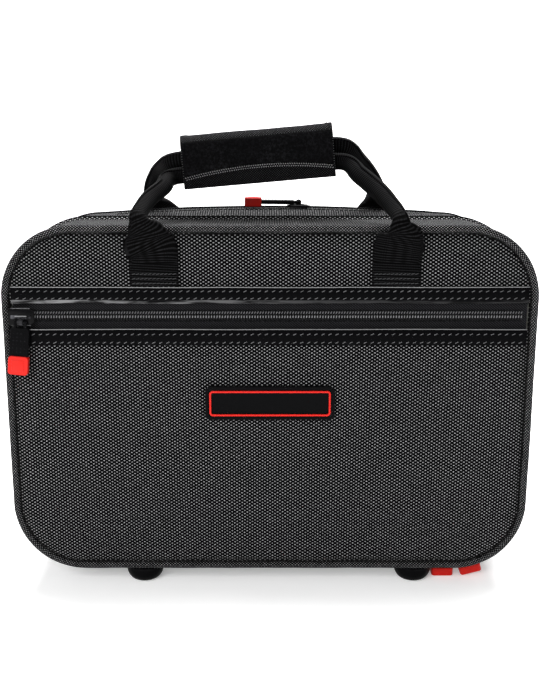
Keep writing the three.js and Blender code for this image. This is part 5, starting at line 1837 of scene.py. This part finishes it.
class CASE_OT_straps(CaseStep, Operator):
    """Makes the two webbing handles and their four sewn ends"""

    bl_idname = "case.straps"
    bl_label = "Straps"

    def build(self, case, size):
        for end, side, anchor_body in (("front", -1, "lid"), ("back", 1, "case_body")):
            build_strap(case, end, side)
            for hand in ("left", "right"):
                node = f"{end}_strap_anchor_{hand}"
                low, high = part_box(node)
                bm = rounded_block(low, high + AXIS_Z * size.fit_gap, 0.7 * MM, 3, 2.2 * MM)
                wave(bm, AXIS_Y, 0.3 * MM, 12 * MM, 3.0 + side)
                flat_uv(bm)
                dress(bm, f"{end}_{hand}_sewn_end", anchor_body, "webbing", "webbing", node)
                face_y = low.y if side < 0 else high.y
                cloth = (anchor_body, "webbing")
                places = [((x, face_y, low.z + rise), (1, 0, 0.25), (0, side, 0))
                          for rise in mm(2.2, 5.4, 8.6)
                          for x in even_places(low.x + 1.5 * MM, high.x - 1.5 * MM, size.stitch_pitch * 0.8)]
                stitch_rows(f"{end}_{hand}_sewn_end_stitches", *cloth, "webbing_thread", places)


HEM_SWELL = 0.35 * MM
FIBRE_COUNT = 1500


def rounded_ring(half_depth, half_height, corner, x):
    """Points of a rounded rectangle square to X, anticlockwise from the right."""
    steps, straight_steps = 8, 5
    sides = ((1, 1), (-1, 1), (-1, -1), (1, -1))

    def on_corner(number, turns):
        """The place on a corner, after a number of quarter turns."""
        side_y, side_z = sides[number % 4]
        angle = turns * math.pi / 2
        return Vector((x, side_y * (half_depth - corner) + corner * math.cos(angle),
                       side_z * (half_height - corner) + corner * math.sin(angle)))

    points = []
    for number in range(4):
        points += [on_corner(number, number + step / steps) for step in range(steps + 1)]
        start, end = points[-1], on_corner(number + 1, number + 1)
        points += [start.lerp(end, step / straight_steps) for step in range(1, straight_steps)]
    return points


class CASE_OT_grip(CaseStep, Operator):
    """Makes the padded grip wrap, its loop panel and its closing flap"""

    bl_idname = "case.grip"
    bl_label = "Grip"

    def build(self, case, size):
        matrix = grip_matrix()
        low, high = local_box("grip_wrap", matrix)
        self.make_wrap(size, matrix, low, high)
        self.make_hems(size, matrix, low, high)
        self.make_loop_panel(size, matrix, high.z)
        self.make_flap(size, matrix)

    def make_wrap(self, size, matrix, low, high):
        """The padded wrap: a tube with soft corners, a little thicker at its two hems."""
        steps = 60
        rings = []
        for step in range(steps + 1):
            x = low.x + (high.x - low.x) * step / steps
            swell = HEM_SWELL * (1 - smooth_share(high.x - abs(x), 3 * MM, 4.2 * MM))
            rings.append(rounded_ring(high.y + swell, high.z + swell, size.grip_corner, x))
        bm = bmesh.new()
        follow(bm, rings, cap=False)
        corners = len(rings[0])
        lengths = [0.0]
        for point, following in zip(rings[0], rings[0][1:] + rings[0][:1]):
            lengths.append(lengths[-1] + (following - point).length)
        layer = bm.loops.layers.uv.new("cloth")
        for loop, column in ring_columns(bm, corners):
            loop[layer].uv = (loop.vert.co.x, lengths[min(column, corners)])
        for vert in bm.verts:
            away = Vector((0, vert.co.y, vert.co.z)).normalized()
            vert.co += away * 0.45 * MM * noise.noise(vert.co / (22 * MM))
        point_faces(bm, lambda place: Vector((0, place.y, place.z)))
        bmesh.ops.transform(bm, matrix=matrix, verts=bm.verts)
        wrap = dress(bm, "grip_wrap_cloth", "back_handle", "woven_nylon", "grip_cloth", "grip_wrap",
                     recalc=False)
        add_wall(wrap, size.grip_wall)

    def make_hems(self, size, matrix, low, high):
        """The rows of stitches round both ends of the wrap."""
        turned = matrix.to_3x3()
        hems = []
        for x in (low.x + 3.4 * MM, high.x - 3.4 * MM):
            ring_points = rounded_ring(high.y + 0.3 * MM, high.z + 0.3 * MM, size.grip_corner, x)
            for point, following in zip(ring_points[::2], ring_points[1::2]):
                out = turned @ Vector((0, point.y, point.z))
                hems.append((matrix @ point, turned @ (following - point), out))
        stitch_rows("grip_hem_stitches", "back_handle", "woven_nylon", "dark_thread", hems)

    def make_loop_panel(self, size, matrix, wrap_top):
        """The fluffy panel that shows under the flap's bow, with loose fibres."""
        low, high = local_box("grip_loop_panel", matrix)
        high.z -= 1.5 * MM
        bm = rounded_block(low, high, 0.4 * MM, 2, 1.1 * MM)
        bend_from = wrap_top - size.grip_corner
        flap_high = local_box("grip_flap", matrix)[1]
        for vert in bm.verts:
            bottom = flap_high.z - size.flap_bow * (vert.co.x / flap_high.x) ** 2 + 0.3 * MM
            share = (vert.co.z - low.z) / (high.z - low.z)
            vert.co.z = bottom + share * (high.z - bottom)
            rise = min(max(vert.co.z - bend_from, 0), size.grip_corner)
            vert.co.y += size.grip_corner - (size.grip_corner**2 - rise**2) ** 0.5
            fluff = noise.noise(vert.co / (1.3 * MM)) + 0.6 * noise.noise(vert.co / (0.5 * MM))
            vert.co.y -= 0.16 * MM * fluff
            vert.co.z += 0.12 * MM * fluff
        bmesh.ops.transform(bm, matrix=matrix, verts=bm.verts)
        dress(bm, "grip_loop_pile", "back_handle", "loop_pile", "loop_pile", "grip_loop_panel")

        chance = random.Random(4)
        fibres = []
        for _ in range(FIBRE_COUNT):
            place = Vector((chance.uniform(low.x, high.x), low.y, chance.uniform(low.z, high.z)))
            lean = Vector((chance.uniform(-1, 1), chance.uniform(-0.7, 0), chance.uniform(-1, 1)))
            fibres.append(matrix @ placed(place, lean, -AXIS_Y))
        fibre = capsule(1.3 * MM, 0.07 * MM, 3)
        scatter(fibre, fibres, "grip_loop_fibres", "back_handle", "loop_pile", "loop_pile")

    def make_flap(self, size, matrix):
        """The woven flap, drawn up to a bow, with two light rows of stitches along it."""
        low, high = local_box("grip_flap", matrix)
        half = high.x

        def top(x):
            return high.z - size.flap_bow * (x / half) ** 2

        bm = bmesh.new()
        add_block(bm, low, high)
        slice_up(bm, 2.2 * MM)
        for vert in bm.verts:
            share = (vert.co.z - low.z) / (high.z - low.z)
            vert.co.z = low.z + share * (top(vert.co.x) - low.z)
        bevel_sharp(bm, 0.5 * MM, 2, 60)
        wave(bm, (0, 1, 0), 0.3 * MM, 17 * MM, 8.0)
        flat_uv(bm)
        bmesh.ops.transform(bm, matrix=matrix, verts=bm.verts)
        dress(bm, "grip_flap_cloth", "grip_flap", "woven_nylon", "flap_cloth", "grip_flap")
        places = []
        for row in range(2):
            for x in even_places(low.x + (1 + 0.75 * row) * MM, high.x - (1.75 - 0.75 * row) * MM, 1.6 * MM):
                place = Vector((x, low.y, top(x) - (0.5 + 1.5 * row) * MM))
                places.append(matrix @ placed(place, Vector((1, 0, 0.5)), -AXIS_Y))
        scatter(capsule(0.75 * MM, 0.34 * MM), places, "grip_flap_stitches", "grip_flap", "woven_nylon",
                "bright_thread")


# Inside


# Each piece: node, body, slot, finish, edge radius and unevenness in millimetres, and padding where it has any
INSIDE_PIECES = (
    ("lid_foam_shell", "lid", "foam", "foam", 1.5, 0.2, 0.9),
    ("body_foam_shell", "case_body", "foam", "foam", 1.5, 0.2, 0.9),
    ("instrument_tray", "case_body", "plush", "plush", 2.0, 0.25, 0.8),
    ("lid_lining", "lid", "plush", "plush", 0.4, 0.1, None),
    ("pocket_lining", "lid", "lining_cloth", "lining", 0.2, 0.1, None),
    ("rear_pocket_lining", "case_body", "lining_cloth", "lining", 0.2, 0.1, None),
)


class CASE_OT_inside(CaseStep, Operator):
    """Makes the foam shells, the tray and the linings"""

    bl_idname = "case.inside"
    bl_label = "Inside"

    def build(self, case, size):
        for node, body, slot_name, finish_name, radius, ripple, fill in INSIDE_PIECES:
            bm = soft_copy(node, radius * MM, 3, ripple * MM)
            name = f"{node.replace('_shell', '')}_soft"
            piece = dress(bm, name, body, slot_name, finish_name, node, angle=50)


# Stage


STAGE_HALF_WIDTH, STAGE_FRONT, STAGE_BEND, STAGE_RADIUS, STAGE_TOP = 3, -2.5, 0.9, 0.8, 3.2
CAMERA_LENS, CAMERA_SENSOR = 48.3, 36
CAMERA_PLACE = (0, -0.686, 0.317)
CAMERA_DOWN = 12.75

# Each light: its name, its place, its width and height in metres, and its power in watts
LAMPS = (
    ("key light", (-0.9, -1.7, 1.1), 1.2, 1.2, 36),
    ("fill light", (1.6, -1.4, 0.6), 1.2, 1.2, 4),
    ("top light", (0.1, 0.5, 1.9), 1.6, 0.9, 95),
)


class CASE_OT_stage(CaseStep, Operator):
    """Makes the pale floor and backdrop, the soft studio light and the camera"""

    bl_idname = "case.stage"
    bl_label = "Stage"

    def build(self, case, size):
        bm = bmesh.new()
        steps = 12
        points = [(-STAGE_HALF_WIDTH, STAGE_FRONT, 0), (-STAGE_HALF_WIDTH, STAGE_BEND, 0)]
        for step in range(1, steps + 1):
            angle = step / steps * math.pi / 2
            points.append((-STAGE_HALF_WIDTH, STAGE_BEND + STAGE_RADIUS * math.sin(angle),
                           STAGE_RADIUS - STAGE_RADIUS * math.cos(angle)))
        points.append((-STAGE_HALF_WIDTH, STAGE_BEND + STAGE_RADIUS, STAGE_TOP))
        push(bm, polyline(bm, points), (2 * STAGE_HALF_WIDTH, 0, 0), 1)
        point_faces(bm, lambda place: Vector((0, -1, 1)))
        backdrop = finish_mesh(bm, "backdrop", recalc=False)
        backdrop.data.materials.append(self.paper())
        self.world()
        lamps = [self.lamp(*row) for row in LAMPS]
        lens = bpy.data.cameras.new("camera")
        lens.lens = CAMERA_LENS
        lens.sensor_width = CAMERA_SENSOR
        camera = bpy.data.objects.new("camera", lens)
        bpy.context.scene.collection.objects.link(camera)
        camera.location = CAMERA_PLACE
        camera.rotation_euler = (math.radians(90 - CAMERA_DOWN), 0, 0)
        bpy.context.scene.camera = camera
        bpy.context.scene.view_settings.view_transform = "Standard"

    def seen(self, tree):
        """One where a ray comes straight from the camera or by way of gloss or glass."""
        ray = add_node(tree, "ShaderNodeLightPath").outputs
        shiny = sum_up(tree, "MAXIMUM", ray["Is Glossy Ray"], ray["Is Transmission Ray"])
        return sum_up(tree, "MAXIMUM", ray["Is Camera Ray"], shiny)

    def paper(self):
        """Pale paper that shows near white to the camera and keeps the case's shadow."""
        material, tree, shader = blank_material("Pale paper", 0.8)
        grain = use_group(tree, "Grain", object_place(tree), Scale=400.0, Roughness=0.8)
        tree.links.new(grain["Roughness"], shader["Roughness"])
        shader["Base Color"].default_value = rgba(colours().floor)
        shader["Emission Color"].default_value = WHITE
        tree.links.new(sum_up(tree, "MULTIPLY", self.seen(tree), 0.3), shader["Emission Strength"])
        return material

    def world(self):
        """A white surrounding that is dimmer for what isn't seen straight or in gloss."""
        world = bpy.data.worlds.new("Studio")
        world.use_nodes = True
        tree = world.node_tree
        background = tree.nodes["Background"]
        background.inputs["Color"].default_value = WHITE
        tree.links.new(ramp(tree, self.seen(tree), 0, 1, 0.25, 0.45), background.inputs["Strength"])
        bpy.context.scene.world = world

    def lamp(self, name, place, width, height, power):
        """A rectangular light that looks at the middle of the case."""
        light = bpy.data.lights.new(name, "AREA")
        light.shape = "RECTANGLE"
        light.size, light.size_y, light.energy = width, height, power
        lamp = bpy.data.objects.new(name, light)
        bpy.context.scene.collection.objects.link(lamp)
        lamp.location = place
        middle = Vector((0, 0, Outline().middle_z))
        lamp.rotation_euler = (middle - Vector(place)).to_track_quat("-Z", "Y").to_euler()
        return lamp


# Panel and start


OPERATORS = (CASE_OT_front_cloth, CASE_OT_back_cloth, CASE_OT_side_cloth, CASE_OT_piping, CASE_OT_hinge_cloth,
             CASE_OT_trim, CASE_OT_pocket_zip, CASE_OT_main_zip, CASE_OT_rear_zip, CASE_OT_sliders,
             CASE_OT_badge, CASE_OT_feet, CASE_OT_straps, CASE_OT_grip, CASE_OT_inside,
             CASE_OT_stage)


class CASE_PT_dressing(Panel):
    """Every step of the dressing, with its sizes and colours"""

    bl_label = "Clarinet case"
    bl_space_type = "VIEW_3D"
    bl_region_type = "UI"
    bl_category = "Case"

    def draw(self, context):
        for operator in OPERATORS:
            self.layout.operator(operator.bl_idname)
        for group in (context.scene.case_sizes, context.scene.case_colours):
            box = self.layout.box()
            for key in group.bl_rna.properties.keys():
                if key not in ("rna_type", "name"):
                    box.prop(group, key)


CLASSES = (CaseSizes, CaseColours, *OPERATORS, CASE_PT_dressing)


def register():
    for made in CLASSES:
        bpy.utils.register_class(made)
    bpy.types.Scene.case_sizes = PointerProperty(type=CaseSizes)
    bpy.types.Scene.case_colours = PointerProperty(type=CaseColours)


def unregister():
    del bpy.types.Scene.case_colours
    del bpy.types.Scene.case_sizes
    for made in reversed(CLASSES):
        bpy.utils.unregister_class(made)


def main():
    register()
    for operator in OPERATORS:
        group, name = operator.bl_idname.split(".")
        getattr(getattr(bpy.ops, group), name)()


if __name__ == "__main__":
    main()
